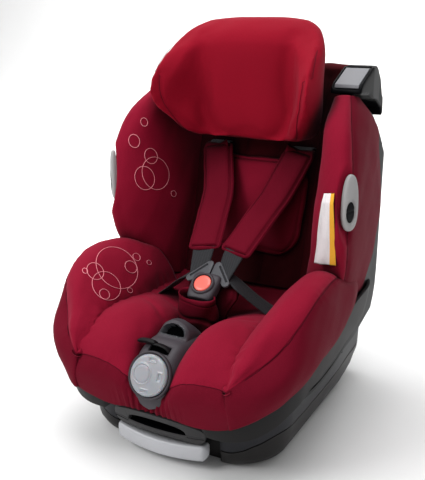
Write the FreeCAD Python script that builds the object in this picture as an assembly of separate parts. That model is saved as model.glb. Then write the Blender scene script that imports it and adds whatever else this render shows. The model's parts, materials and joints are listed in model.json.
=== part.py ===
import FreeCAD, Part
import math
import os

# Convertible child car seat, millimetres.  The seat faces -Y, +Z is up, and +X is to the right as
# seen from the front, which is the seated child's left.  The origin is the middle of the footprint.

# overall size
HALF_WIDTH = 222.5
HALF_DEPTH = 270.0

# recline: the seat swings on curved rails about a virtual axis above the child's lap
AXIS_Y = -60.0
AXIS_Z = 520.0
PAN_RADIUS = 424.0
PAN_WALL = 4.5
RAIL_GAP = 2.5
RAIL_WALL = 3.5
RAIL_RADIUS = PAN_RADIUS + RAIL_GAP
CRADLE_RADIUS = RAIL_RADIUS + RAIL_WALL
RAIL_X = 120.0

# backrest plane: y of its front fabric at height z
LEAN = math.atan(0.33)
BACK_Y = 62.0
BACK_Z = 250.0
BACK_CUSHION = 18.0
PANEL_OFFSET = 32.0
PANEL_WALL = 4.5

# base
BASE_HALF = 172.0
FOOT_HALF = 150.0
BASE_FRONT = -182.0
BASE_REAR = 222.0
BASE_WALL = 4.0
SPLIT_GAP = 1.0
PAD_DEPTH = 3.0

# seat
WING_WALL = 4.0
FABRIC_GAP = 1.5
SEAT_FRONT = -259.0
CORNER_RADIUS = 105.0
SEAM_HALF = 205.0
INNER_HALF = 118.0
FOAM_TOP = 148.0
BOLSTER_JOIN = -33.0

# harness
WEB_WIDTH = 38.0
WEB_WALL = 2.0
PAD_WIDTH = 54.0
PAD_WALL = 13.0
BUCKLE_TILT = 35.0
BUCKLE_CENTRE = (0.0, -92.0, 232.0)
BUCKLE_SIZE = (50.0, 22.0, 60.0)
BUTTON_RADIUS = 11.0

# console and its round disc
CONSOLE_HALF = 34.0
DISC_TILT = 25.0
DISC_RADIUS = 30.0
DISC_WALL = 10.0
DISC_Z = 150.0

# belt clamps on the top corners
CLAMP_INNER = 138.0
CLAMP_OUTER = 188.0
CLAMP_LOW = 428.0
LEVER_PIVOT = (113.0, 551.0)
PIN_RADIUS = 2.0
RUNNING_GAP = 0.05

# side clips
CLIP_HALF_HEIGHT = 44.0
CLIP_HALF_WIDTH = 15.0
CLIP_WALL = 8.0
CLIP_Y = -33.0
CLIP_Z = 377.0

# height knob on the rear
KNOB_Z = 330.0
KNOB_RADIUS = 34.0
SHAFT_RADIUS = 6.0

SIDES = (("left", 1), ("right", -1))


def vec(x, y, z):
    return FreeCAD.Vector(x, y, z)


def save(name, *shapes):
    if len(shapes) == 1:
        shape = shapes[0]
    else:
        shape = Part.makeCompound(list(shapes))
    shape.exportStep("parts/" + name + ".step")


def box(x0, x1, y0, y1, z0, z1):
    return Part.makeBox(x1 - x0, y1 - y0, z1 - z0, vec(x0, y0, z0))


def bar(start, end, radius):
    """Round bar between two points."""
    axis = vec(*end) - vec(*start)
    return Part.makeCylinder(radius, axis.Length, vec(*start), axis)


def side_face(points):
    """Face in the side view from (y, z) points."""
    corners = [vec(0, y, z) for y, z in points]
    return Part.Face(Part.makePolygon(corners + corners[:1]))


def side_prism(points, x0, x1):
    """Outline in the side view, extruded across the seat."""
    face = side_face(points)
    face.translate(vec(x0, 0, 0))
    return face.extrude(vec(x1 - x0, 0, 0))


def front_prism(points, y0, y1):
    """Outline in the front view from (x, z) points, extruded front to back."""
    corners = [vec(x, y0, z) for x, z in points]
    return Part.Face(Part.makePolygon(corners + corners[:1])).extrude(vec(0, y1 - y0, 0))


def plan_prism(half, front, rear, front_radius, rear_radius, z0, z1):
    """Plan outline with rounded corners, extruded upward."""
    block = box(-half, half, front, rear, z0, z1)
    upright = [e for e in block.Edges if abs(e.Vertexes[0].Z - e.Vertexes[-1].Z) > 1]
    ahead = [e for e in upright if e.CenterOfMass.y < (front + rear) / 2]
    behind = [e for e in upright if e.CenterOfMass.y > (front + rear) / 2]
    return block.makeFillet(front_radius, ahead).makeFillet(rear_radius, behind)


def arc_sector(inner, outer, start, end, x0, x1):
    """Ring sector about the recline axis; angles in degrees from straight down, + to the rear."""
    angles = [math.radians(a) for a in (start, (start + end) / 2, end)]
    low = [vec(x0, AXIS_Y + outer * math.sin(a), AXIS_Z - outer * math.cos(a)) for a in angles]
    high = [vec(x0, AXIS_Y + inner * math.sin(a), AXIS_Z - inner * math.cos(a)) for a in angles]
    edges = [Part.Arc(*low).toShape(), Part.makeLine(low[2], high[2])]
    edges += [Part.Arc(*high).toShape(), Part.makeLine(high[0], low[0])]
    wire = Part.Wire(Part.__sortEdges__(edges))
    return Part.Face(wire).extrude(vec(x1 - x0, 0, 0))


def cradle_drum(radius, half):
    """Drum about the recline axis that clears everything the seat sweeps."""
    return Part.makeCylinder(radius, 2 * half, vec(-half, AXIS_Y, AXIS_Z), vec(1, 0, 0))


def back_y(z, offset=0.0):
    """Depth of the backrest plane at height z; a positive offset lies further back."""
    return BACK_Y + (z - BACK_Z) * math.tan(LEAN) + offset


def on_back(shape, z, offset):
    """Turn an upright shape built at the origin to the backrest's lean and set it at height z."""
    shape.rotate(vec(0, 0, 0), vec(1, 0, 0), -math.degrees(LEAN))
    shape.translate(vec(0, back_y(z, offset), z))
    return shape


def band(points, width, wall, across=(1, 0, 0)):
    """Flat webbing or pad that follows points, its width along the across direction."""
    wires = []
    places = [vec(*p) for p in points]
    for i, place in enumerate(places):
        ahead = places[min(i + 1, len(places) - 1)]
        behind = places[max(i - 1, 0)]
        along = (ahead - behind).normalize()
        normal = along.cross(vec(*across)).normalize()
        wide = normal.cross(along).normalize() * (width / 2)
        thick = normal * (wall / 2)
        corners = [place + wide + thick, place - wide + thick, place - wide - thick, place + wide - thick]
        wires.append(Part.makePolygon(corners + corners[:1]))
    return Part.makeLoft(wires, True, True)


def mirrored(shape):
    return shape.mirror(vec(0, 0, 0), vec(1, 0, 0))


def pick(shape, sign):
    """The left piece as it is, or its mirror image for the right."""
    if sign > 0:
        return shape
    return mirrored(shape)


# ---------------------------------------------------------------- base

TRAY_SIDE = [(-150, 0), (150, 0), (202, 38), (BASE_REAR, 82), (161, 60), (89, 63), (44, 57),
             (-21, 51), (-103, 54), (BASE_FRONT, 63), (BASE_FRONT, 20)]
COVER_SIDE = [(BASE_FRONT, 63), (-103, 54), (-21, 51), (44, 57), (89, 63), (161, 60),
              (BASE_REAR, 82), (214, 130), (190, 170), (BASE_FRONT, 170)]
BASE_FRONT_VIEW = [(-FOOT_HALF, 0), (FOOT_HALF, 0), (166, 28), (BASE_HALF, 60), (168, 180),
                   (-168, 180), (-BASE_HALF, 60), (-166, 28)]


def base_body(outline, inset):
    """Base moulding between the side outline, the front view and the plan, inset for its cavity."""
    side = side_face(outline)
    front = Part.Face(Part.makePolygon([vec(x, 0, z) for x, z in BASE_FRONT_VIEW + BASE_FRONT_VIEW[:1]]))
    if inset:
        side = side.makeOffset2D(-inset)
        front = front.makeOffset2D(-inset)
    side.translate(vec(-200, 0, 0))
    front.translate(vec(0, -300, 0))
    body = side.extrude(vec(400, 0, 0)).common(front.extrude(vec(0, 600, 0)))
    plan = plan_prism(BASE_HALF - inset, BASE_FRONT + inset, BASE_REAR - inset, 62, 48, -1, 200)
    return body.common(plan)


def pad_places():
    return [(x, y) for x in (-95, 95) for y in (-105, 95)]


def tube_places():
    """Side-view centres of the two steel cross tubes."""
    return [(-130.0, 34.0), (118.0, 34.0)]


def base_tray():
    cavity = base_body(TRAY_SIDE, BASE_WALL)
    mouth = side_prism([(-170, 30), (-103, 30), (160, 30), (195, 62), (200, 120), (-170, 120)], -150, 150)
    mouth = mouth.common(plan_prism(BASE_HALF - BASE_WALL - 6, -172, 206, 52, 38, 0, 200))
    tray = base_body(TRAY_SIDE, 0).cut(cavity).cut(mouth)
    for x, y in pad_places():
        tray = tray.fuse(box(x - 38, x + 38, y - 28, y + 28, PAD_DEPTH, PAD_DEPTH + 4))
        tray = tray.cut(box(x - 30.2, x + 30.2, y - 20.2, y + 20.2, -1, PAD_DEPTH))
        tray = tray.cut(bar((x, y, 2), (x, y, 9), 3.5))
    return tray


def base_pads():
    return [box(x - 30, x + 30, y - 20, y + 20, 0, PAD_DEPTH - 0.1) for x, y in pad_places()]


def pad_screws():
    """Countersunk screws that hold the anti-slip pads from inside the tray."""
    screws = []
    for x, y in pad_places():
        shank = bar((x, y, PAD_DEPTH), (x, y, 7.0), 3.0)
        screws.append(shank.fuse(bar((x, y, 7.0), (x, y, 9.0), 6.0)))
    return screws


def base_upper_cover():
    shape = base_body(COVER_SIDE, 0)
    cavity = base_body(COVER_SIDE, BASE_WALL)
    mouth = side_prism([(-170, 40), (200, 40), (200, 76), (161, 68), (89, 71), (44, 65),
                        (-21, 59), (-103, 62), (-170, 70)], -150, 150)
    mouth = mouth.common(plan_prism(BASE_HALF - BASE_WALL - 6, -172, 206, 52, 38, 0, 200))
    shape = shape.cut(cavity.fuse(mouth).cut(cradle_drum(CRADLE_RADIUS + BASE_WALL, 200)))
    shape = shape.cut(cradle_drum(CRADLE_RADIUS, 200))
    shape.translate(vec(0, 0, SPLIT_GAP))
    return shape.cut(cradle_drum(CRADLE_RADIUS, 200))


def rail(sign):
    """Curved steel track with side flange, screwed on the cradle."""
    strip = arc_sector(RAIL_RADIUS, CRADLE_RADIUS - 0.05, -15.5, 27, RAIL_X - 14, RAIL_X + 14)
    groove = arc_sector(RAIL_RADIUS - 1, RAIL_RADIUS + 1.5, -13, 25, RAIL_X - 5, RAIL_X + 5)
    return pick(strip.cut(groove), sign)


def notch_plate():
    """Ratchet strip on the cradle, with one slot for each recline position."""
    plate = arc_sector(RAIL_RADIUS, CRADLE_RADIUS - 0.05, -15, 12, -18, 18)
    for index in range(5):
        angle = -12.5 + 4 * index
        plate = plate.cut(arc_sector(RAIL_RADIUS - 2, CRADLE_RADIUS + 2, angle - 0.8, angle + 0.8, -10, 10))
    return plate


def cross_tubes():
    tubes = []
    for y, z in tube_places():
        outer = bar((-128, y, z), (128, y, z), 10)
        tubes.append(outer.cut(bar((-130, y, z), (130, y, z), 8)))
    return tubes


def tube_saddles():
    """Plastic saddles that carry the cross tubes in the tray."""
    saddles = []
    for y, z in tube_places():
        for x in (-80, 80):
            block = box(x - 12, x + 12, y - 15, y + 15, 10.0, z + 2)
            saddles.append(block.cut(bar((x - 20, y, z), (x + 20, y, z), 10.05)))
    return saddles


def base_lugs():
    """Bosses with screws that hold the cover to the tray."""
    lugs = []
    for x in (-120, 120):
        for y in (-60, 60):
            lugs.append(bar((x, y, 10.0), (x, y, 46.0), 4.0))
    return lugs


# ---------------------------------------------------------------- seat shell

WING_SIDE = [(-236, 132), (-200, 205), (-150, 228), (-40, 232), (-14, 262), (-16, 365), (-4, 430),
             (14, 476), (40, 500), (69, 513), (100, 506), (141, 485), (170, 456), (190, 424), (214, 404), (223, 382),
             (232, 330), (233, 282), (224, 241), (207, 208), (196, 154), (186, 133), (100, 112),
             (-60, 101), (-180, 112)]
WING_FRONT_VIEW = [(186, 90), (189.5, 200), (189.5, 425), (183, 478), (172, 520), (166, 545)]


def ribbon(line, inner, outer):
    """Front-view strip that follows a line of (x, z) points between two offsets in x."""
    near = [(x + inner, z) for x, z in line]
    far = [(x + outer, z) for x, z in reversed(line)]
    return front_prism(near + far, -300, 300)


def seat_wing():
    return ribbon(WING_FRONT_VIEW, -WING_WALL, 0).common(side_prism(WING_SIDE, 100, 250))


def seat_plan(inset, z0, z1):
    return plan_prism(SEAM_HALF - inset, SEAT_FRONT + inset, HALF_DEPTH - inset,
                      CORNER_RADIUS - inset, 60, z0, z1)


def clamp_notch(sign):
    """Clearance round a belt clamp housing at one top corner."""
    return pick(box(CLAMP_INNER - 2, 260, 60, 300, CLAMP_LOW, 600), sign)


def back_panel():
    """Flat panel that leans back, with a round hole for the knob shaft and slots for the straps."""
    height = 440.0
    panel = box(-200, 200, 0, PANEL_WALL, -20, height)
    panel = on_back(panel, 120.0, PANEL_OFFSET)
    view = [(x - WING_WALL / 2, z) for x, z in WING_FRONT_VIEW]
    half = front_prism(view + [(-x, z) for x, z in reversed(view)], -300, 300)
    panel = panel.common(half).cut(clamp_notch(1)).cut(clamp_notch(-1))
    rear = back_y(KNOB_Z, PANEL_OFFSET)
    panel = panel.cut(bar((0, rear - 60, KNOB_Z), (0, rear + 60, KNOB_Z), SHAFT_RADIUS + 2))
    for x in (-78, 78):
        panel = panel.cut(box(x - 24, x + 24, 60, 220, 412, 432))
    return panel


def seat_shell():
    pan = arc_sector(PAN_RADIUS - PAN_WALL, PAN_RADIUS, -26, 37, -187, 187)
    shell = pan.fuse([seat_wing(), mirrored(seat_wing()), back_panel()])
    sweep = cradle_drum(PAN_RADIUS, 182)
    floor = box(-182, 182, -300, 250, 60, 190).cut(sweep)
    shell = shell.cut(floor).common(seat_plan(16, 60, 600))
    shell = shell.cut(box(-20, 20, -100, -90, 60, 130))
    shell = shell.cut(box(-CONSOLE_HALF - 2, CONSOLE_HALF + 2, -300, -205, 60, 200))
    return shell.removeSplitter()


RIM_SIDE = [(-246, 84), (-225, 97), (-180, 97), (-108, 95), (-23, 99), (33, 108), (131, 119),
            (172, 112), (190, 133), (196, 170), (78, 176), (34, 163), (-57, 146), (-138, 143),
            (-207, 142), (-232, 124), (-250, 106)]


def shell_rim():
    """Skirt that hangs round the pan and hides the rails; open at the front between the corners."""
    wall = plan_prism(199, -250, 205, 98, 40, 60, 190)
    wall = wall.cut(plan_prism(191.5, -242.5, 260, 90, 30, 50, 200))
    ring = wall.common(side_prism(RIM_SIDE, -220, 220))
    ring = ring.cut(box(-62, 62, -300, -150, 40, 200))
    return ring.cut(box(-160, 160, 150, 300, 40, 260))


def rim_pieces():
    """The skirt's left and right halves."""
    ring = shell_rim()
    return ring.common(box(0, 300, -300, 300, 0, 300)), ring.common(box(-300, 0, -300, 300, 0, 300))


def front_lip():
    """Bumper under the front edge: a cross bar on two arms, with a finger gap above it."""
    outer = plan_prism(98, -238, -120, 60, 20, 43, 99)
    inner = plan_prism(80, -212, -60, 14, 20, 30, 110)
    body = outer.cut(inner)
    body = body.cut(box(-78, 78, -300, -100, 67, 120))
    side = [(-240, 43), (-196, 43), (-196, 99), (-218, 99), (-240, 68)]
    body = body.common(side_prism(side, -130, 130))
    return body


def slider_shoes():
    """Low-friction shoes under the pan that run on the rails."""
    shoes = []
    for x in (-RAIL_X, RAIL_X):
        for angle in (-10, 14):
            shoes.append(arc_sector(PAN_RADIUS + 0.05, RAIL_RADIUS - 0.2, angle - 2, angle + 2, x - 10, x + 10))
    return shoes


COVER_OUTLINE = [(206, 200), (238, 222), (262, 262), (HALF_DEPTH, 318), (262, 372), (236, 428), (200, 472)]


def back_cover():
    """Hollow rear casing between the wings, open towards the back panel."""
    closed = COVER_OUTLINE + [(180, 474), (176, 200)]
    outer = side_prism(closed, -180, 180).common(plan_prism(178, 0, HALF_DEPTH, 20, 58, 100, 600))
    face = side_face(closed).makeOffset2D(-4)
    face.translate(vec(-174, 0, 0))
    inner = face.extrude(vec(348, 0, 0))
    mouth = box(-174, 174, 100, 200, 206, 466)
    inner = inner.fuse(mouth).common(plan_prism(174, 0, HALF_DEPTH - 4, 20, 54, 100, 600))
    casing = outer.cut(inner)
    casing = casing.cut(bar((0, 220, KNOB_Z), (0, 300, KNOB_Z), SHAFT_RADIUS + RUNNING_GAP))
    casing = casing.cut(clamp_notch(1)).cut(clamp_notch(-1))
    return casing.cut(knob_pocket(KNOB_RADIUS + 3))


def knob_pocket(radius):
    return bar((0, 262, KNOB_Z), (0, 300, KNOB_Z), radius)


# ---------------------------------------------------------------- soft parts

def seat_foam():
    """Shock-absorbing foam block between the pan and the seat cushion."""
    drum = cradle_drum(PAN_RADIUS - PAN_WALL - 1, INNER_HALF)
    block = box(-INNER_HALF + 2, INNER_HALF - 2, -226, back_y(150, -2), 90, FOAM_TOP)
    block = block.common(drum)
    block = block.cut(box(-40, 40, -300, -46, 60, FOAM_TOP + 10))
    return block.common(seat_plan(24, 60, 300))


CUSHION_TOP = [(-240, 150), (-252, 164), (-236, 184), (-205, 199), (-170, 205), (-120, 190),
               (-60, 181), (0, 184), (26, 190)]


def seat_cushion():
    rear = [(back_y(192, -4), 192), (back_y(150, -4), 150)]
    shape = side_prism(CUSHION_TOP + rear, -INNER_HALF, INNER_HALF)
    shape = shape.cut(box(-42, 42, -300, -132, 100, 260))
    shape = shape.cut(box(-24, 24, -140, -66, 100, 260))
    return shape


def front_skirt():
    """Fabric apron under the seat's front edge, parted for the console."""
    outer = seat_plan(0, 106, 160)
    inner = plan_prism(SEAM_HALF - 7, SEAT_FRONT + 7, 300, CORNER_RADIUS - 7, 20, 90, 200)
    apron = outer.cut(inner).common(box(-150, 150, -300, -214, 90, 200))
    lower = box(-150, 150, -300, -214, 90, 107).cut(box(-132, 132, -300, -214, 80, 120))
    apron = apron.cut(lower)
    return apron.cut(box(-40, 40, -300, -200, 90, 200))


SEAT_BOLSTER = [(-214, 166), (-207, 214), (-180, 240), (-126, 264), (BOLSTER_JOIN - 1, 262),
                (BOLSTER_JOIN - 1, 120), (-150, 122), (-200, 140)]


def seat_bolster():
    shape = side_prism(SEAT_BOLSTER, INNER_HALF + 2, 183)
    shape = shape.cut(box(100, INNER_HALF + 22, -300, -20, 222, 300))
    return shape.common(seat_plan(24, 60, 400))


BACK_BOLSTER_FRONT = [(BOLSTER_JOIN + 1, 122), (BOLSTER_JOIN + 1, 262), (-25, 289), (-36, 330),
                      (-36, 380), (-22, 430), (-3, 478), (34, 508), (69, 516), (100, 508), (141, 487)]


def back_bolster():
    rear = [(back_y(464, PANEL_OFFSET - 2), 464), (back_y(150, PANEL_OFFSET - 2), 150), (30, 122)]
    shape = side_prism(BACK_BOLSTER_FRONT + rear, 100, 220)
    view = [(130, 100), (178, 100), (182, 200), (182, 425), (176, 478), (165, 520), (144, 520), (144, 280), (130, 220)]
    return shape.common(front_prism(view, -300, 300))


SIDE_COVER = [(-228, 148), (-222, 190), (-200, 228), (-150, 254), (-40, 260), (-24, 289),
              (-35, 330), (-36, 380), (-22, 430), (-3, 478), (36, 508), (69, 516), (100, 508), (141, 487),
              (168, 462), (188, 428), (212, 406), (230, 330), (231, 282), (222, 241), (204, 208), (194, 180),
              (78, 181), (34, 168), (-57, 151), (-138, 148)]
SIDE_OUTER = [(205, 140), (206, 200), (203, 289), (211, 365), (206, 430), (197, 478), (184, 514), (176, 545)]


def side_cover():
    """Padded outer side of the fabric cover, hung outside the shell's wing."""
    inner = [(x + FABRIC_GAP, z) for x, z in WING_FRONT_VIEW if z > 150]
    inner = [(191.0, 140)] + inner
    strip = front_prism(inner + list(reversed(SIDE_OUTER)), -300, 300)
    shape = strip.common(side_prism(SIDE_COVER, 150, 230))
    shape = shape.common(seat_plan(-8, 60, 600))
    return shape.cut(clip_envelope(1.0))


def back_cushion():
    """Upholstered centre of the backrest."""
    pad = on_back(box(-126, 126, 0, BACK_CUSHION, 0, 421), 156.0, 0)
    upper = box(-200, 200, -300, 300, 100, 556)
    pad = pad.common(upper)
    for x in (-78, 78):
        pad = pad.cut(box(x - 24, x + 24, 60, 220, 414, 434))
    return pad


def back_pad():
    """Loose comfort pad with a rounded lower edge."""
    pad = box(-94, 94, -14, -2, 0, 160)
    low = [e for e in pad.Edges if abs(e.CenterOfMass.z) < 1 and abs(e.Vertexes[0].Y - e.Vertexes[-1].Y) > 1]
    return on_back(pad.makeFillet(50, low), 246.0, 0)


def side_tag():
    """Blank fabric tag that hangs on the front of one back bolster."""
    return band([(164, -35, 392), (164, -38.5, 374), (164, -38.5, 330), (164, -30, 298), (164, -29, 284)], 30, 1.0)


# ---------------------------------------------------------------- harness

def buckle_frame(shape):
    """Turn a shape built upright at the origin to the buckle's lean and set it in place."""
    shape.rotate(vec(0, 0, 0), vec(1, 0, 0), -BUCKLE_TILT)
    shape.translate(vec(*BUCKLE_CENTRE))
    return shape


def buckle_body():
    width, depth, height = BUCKLE_SIZE
    block = box(-width / 2, width / 2, -depth / 2, depth / 2, -height / 2, height / 2)
    upright = [e for e in block.Edges if abs(e.Vertexes[0].Y - e.Vertexes[-1].Y) > 1]
    block = block.makeFillet(12, upright)
    block = block.cut(bar((0, -depth, 2), (0, depth / 2 - 4, 2), BUTTON_RADIUS + 0.3))
    return buckle_frame(block.cut(box(-22, 22, -3, 3, height / 2 - 14, height)))


def buckle_button():
    depth = BUCKLE_SIZE[1]
    cap = bar((0, -depth / 2 - 1.5, 2), (0, -1, 2), BUTTON_RADIUS)
    return buckle_frame(cap)


def buckle_spring():
    depth = BUCKLE_SIZE[1]
    coil = bar((0, -0.8, 2), (0, depth / 2 - 4.2, 2), 5)
    return buckle_frame(coil.cut(bar((0, -2, 2), (0, depth, 2), 3.5)))


def tongue():
    """Harness tongue with a blade in the buckle's slot and an eye for the webbing."""
    blade = box(1, 20, -1.5, 1.5, BUCKLE_SIZE[2] / 2 - 12, BUCKLE_SIZE[2] / 2 + 6)
    eye = box(1.5, 44, -2.5, 2.5, BUCKLE_SIZE[2] / 2 + 4, BUCKLE_SIZE[2] / 2 + 24)
    eye = eye.cut(box(7, 39, -5, 5, BUCKLE_SIZE[2] / 2 + 12, BUCKLE_SIZE[2] / 2 + 18))
    return buckle_frame(blade.fuse(eye))


SHOULDER_PATH = [(79, 118, 422), (77, 106, 426), (75, 94, 414), (54, 56, 353), (41, 10, 316), (31, -34, 284),
                 (24, -55, 276)]
PAD_PATH = [(76, 99, 419), (75, 94, 414), (54, 56, 353), (41, 10, 316), (31, -34, 284)]
LAP_PATH = [(44, -62, 262), (60, -54, 236), (82, -44, 208), (114, -34, 200)]


def shoulder_strap():
    return band(SHOULDER_PATH, WEB_WIDTH, WEB_WALL)


def shoulder_pad():
    return band(PAD_PATH, PAD_WIDTH, PAD_WALL)


def lap_strap():
    return band(LAP_PATH, WEB_WIDTH - 6, WEB_WALL, (0, 1, 0))


def crotch_strap():
    return band([(0, -95, 101), (0, -98, 160), (0, -108, 205)], WEB_WIDTH, WEB_WALL)


def crotch_pad():
    """Padded sleeve round the crotch strap, between the cushion and the buckle."""
    pad = band([(0, -97, 150), (0, -102, 174), (0, -108, 194)], 44, 14)
    return pad.cut(crotch_clearance())


def crotch_clearance():
    return band([(0, -95, 90), (0, -98, 160), (0, -114, 232)], WEB_WIDTH + 1, WEB_WALL + 1)


def crotch_anchor():
    """Steel plate under the pan that holds the crotch strap's end."""
    plate = arc_sector(PAN_RADIUS - PAN_WALL - 4.5, PAN_RADIUS - PAN_WALL - 0.5, -13, 1.5, -30, 30)
    return plate.cut(box(-20, 20, -99, -90, 80, 130))


def strap_yoke():
    """Steel splitter plate behind the back panel that joins both shoulder straps."""
    plate = box(-50, 50, 0, 3, 0, 34)
    for x in (-36, 36):
        plate = plate.cut(box(x - 10, x + 10, -1, 4, 10, 16))
    return on_back(plate.cut(box(-12, 12, -1, 4, 20, 26)), 236.0, PANEL_OFFSET + PANEL_WALL + 6)


# ---------------------------------------------------------------- console

CONSOLE_SIDE = [(-136, 160), (-138, 174), (-155, 189), (-176, 196), (-196, 191), (-212, 180),
                (-238, 172), (-247, 156), (-252, 118), (-246, 103), (-232, 106), (-222, 138), (-190, 158)]


def disc_frame(shape):
    """Turn a shape built along -Y at the origin to the disc's tilt and set it in place."""
    reach = DISC_RADIUS * math.sin(math.radians(DISC_TILT))
    depth = DISC_WALL / 2 * math.cos(math.radians(DISC_TILT))
    shape.rotate(vec(0, 0, 0), vec(1, 0, 0), -DISC_TILT)
    shape.translate(vec(0, -HALF_DEPTH + reach + depth, DISC_Z))
    return shape


def console():
    body = side_prism(CONSOLE_SIDE, -CONSOLE_HALF, CONSOLE_HALF)
    view = [(-20, 90), (20, 90), (CONSOLE_HALF, 135), (CONSOLE_HALF, 172), (26, 200), (-26, 200),
            (-CONSOLE_HALF, 172), (-CONSOLE_HALF, 135)]
    body = body.common(front_prism(view, -300, -100))
    body = body.cut(box(-22, 22, -176, -148, 176, 210))
    body = body.cut(box(-25, 25, -222, -196, 166, 210))
    seat = disc_frame(bar((0, -40, 0), (0, DISC_WALL / 2 + 0.4, 0), DISC_RADIUS + 1))
    hub = disc_frame(bar((0, 0, 0), (0, DISC_WALL / 2 + 9, 0), 6 + RUNNING_GAP))
    return body.cut(seat).cut(hub)


def front_disc():
    disc = disc_frame(bar((0, -DISC_WALL / 2, 0), (0, DISC_WALL / 2, 0), DISC_RADIUS))
    hub = disc_frame(bar((0, 0, 0), (0, DISC_WALL / 2 + 8, 0), 6))
    return disc.fuse(hub)


def adjuster_lever():
    """Strap-release tab that tips up in the console's recess."""
    tab = side_prism([(-218, 172), (-204, 174), (-200, 184), (-206, 190), (-220, 181)], -20, 20)
    return tab.cut(bar((-30, -209, 180), (30, -209, 180), PIN_RADIUS + RUNNING_GAP))


def lever_pin():
    return bar((-24.9, -209, 180), (24.9, -209, 180), PIN_RADIUS)


# ---------------------------------------------------------------- clips and belt clamps

def clip_frame(shape):
    """Set a clip built facing -Y at the origin on the bolster's front corner."""
    diagonal = math.sqrt(0.5)
    shape.rotate(vec(0, 0, 0), vec(0, 0, 1), 45)
    shape.translate(vec(HALF_WIDTH - (CLIP_HALF_WIDTH + CLIP_WALL / 2) * diagonal, CLIP_Y, CLIP_Z))
    return shape


def oval(half_width, half_height, front, rear):
    """Elliptical plate facing -Y."""
    curve = Part.Ellipse(vec(0, 0, half_height), vec(half_width, 0, 0), vec(0, 0, 0))
    face = Part.Face(Part.Wire(curve.toShape()))
    face.translate(vec(0, front, 0))
    return face.extrude(vec(0, rear - front, 0))


def side_clip():
    plate = oval(CLIP_HALF_WIDTH, CLIP_HALF_HEIGHT, -CLIP_WALL / 2, CLIP_WALL / 2)
    hole = oval(8, 15, -CLIP_WALL, CLIP_WALL)
    hole.translate(vec(0, 0, -16))
    return clip_frame(plate.cut(hole))


def clip_insert():
    plug = oval(7.8, 14.8, -CLIP_WALL / 2 + 1, CLIP_WALL / 2)
    plug.translate(vec(0, 0, -16))
    return clip_frame(plug)


def clip_envelope(gap):
    return clip_frame(oval(CLIP_HALF_WIDTH + 12, CLIP_HALF_HEIGHT + gap, -40, CLIP_WALL / 2 + gap))


HOUSING_SIDE = [(56, 522), (58, 531), (66, 538), (118, 560), (140, 561), (176, 541), (206, 500), (210, 444),
                (198, 434), (188, 466), (141, 502), (100, 518)]
HOUSING_POCKET = [(40, 529), (72, 530), (103, 541.5), (124, 541.5), (126, 580), (40, 580)]
LEVER_SIDE = [(60, 531), (62, 536), (112, 557.5), (119, 557), (120, 549), (112, 547.5), (72, 531)]


def clamp_housing():
    body = side_prism(HOUSING_SIDE, CLAMP_INNER, CLAMP_OUTER)
    body = body.cut(side_prism(HOUSING_POCKET, CLAMP_INNER + 5, CLAMP_OUTER - 5))
    y, z = LEVER_PIVOT
    body = body.cut(bar((CLAMP_INNER + 1, y, z), (CLAMP_OUTER - 1, y, z), PIN_RADIUS))
    return body


def clamp_lever():
    y, z = LEVER_PIVOT
    x0, x1 = CLAMP_INNER + 6, CLAMP_OUTER - 6
    plate = side_prism(LEVER_SIDE, x0, x1)
    return plate.cut(bar((x0 - 1, y, z), (x1 + 1, y, z), PIN_RADIUS + RUNNING_GAP))


def clamp_pin():
    y, z = LEVER_PIVOT
    return bar((CLAMP_INNER + 1.05, y, z), (CLAMP_OUTER - 1.05, y, z), PIN_RADIUS)


# ---------------------------------------------------------------- recline handle

def recline_handle():
    """Grip bar under the lip, on two arms that rise behind it to the pan."""
    grip = plan_prism(78, -229, -209, 9, 9, 15, 39)
    grip = grip.makeFillet(4, [e for e in grip.Edges if e.CenterOfMass.z < 15.5 or e.CenterOfMass.z > 38.5])
    return grip


def handle_arms():
    """Steel arms and latch rod that the grip bar is screwed to."""
    arms = box(-60, 60, -196, -192, 100, 112)
    for x in (-52, 52):
        arms = arms.fuse(box(x - 8, x + 8, -196, -192, 20, 112))
        arms = arms.fuse(box(x - 8, x + 8, -209, -192, 20, 32))
    return arms


def handle_springs():
    springs = []
    for x in (-45, 45):
        coil = bar((x, -191.5, 106), (x, -185.5, 106), 5)
        springs.append(coil.cut(bar((x, -200, 106), (x, -180, 106), 3.5)))
    return springs


# ---------------------------------------------------------------- headrest

HEADREST_LEVELS = [(446, 86, 36, 56, 88, 104), (466, 104, 4, 51, 86, 106), (500, 122, -20, 47, 80, 110),
                   (530, 129, -30, 44, 78, 116), (566, 127, -6, 40, 84, 124), (602, 119, 42, 40, 94, 132),
                   (624, 98, 68, 54, 100, 130), (638, 62, 88, 78, 106, 122)]


def headrest_level(z, half, tip, middle, corner, rear):
    """Plan section of the headrest: two wings that reach forward of its middle."""
    right = [(0, middle), (half * 0.45, middle + 1), (half * 0.78, (2 * middle + tip) / 3),
             (half * 0.94, tip), (half, tip + 12), (half, (tip + corner) / 2 + 4), (half * 0.85, corner),
             (half * 0.5, rear - 4)]
    left = [(-x, y) for x, y in reversed(right[1:])]
    points = [vec(x, y, z) for x, y in right + [(0, rear)] + left]
    curve = Part.BSplineCurve()
    curve.interpolate(Points=points, PeriodicFlag=True)
    return Part.Wire(curve.toShape())


def headrest_cushion():
    return Part.makeLoft([headrest_level(*level) for level in HEADREST_LEVELS], True, False)


def headrest_shell():
    """Plastic carrier between the headrest cushion and its rods."""
    plate = box(-66, 66, -12, -6, 12, 150)
    block = box(-58, 58, -31, -12, 40, 128)
    return on_back(plate.fuse(block), 452.0, 0)


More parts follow.
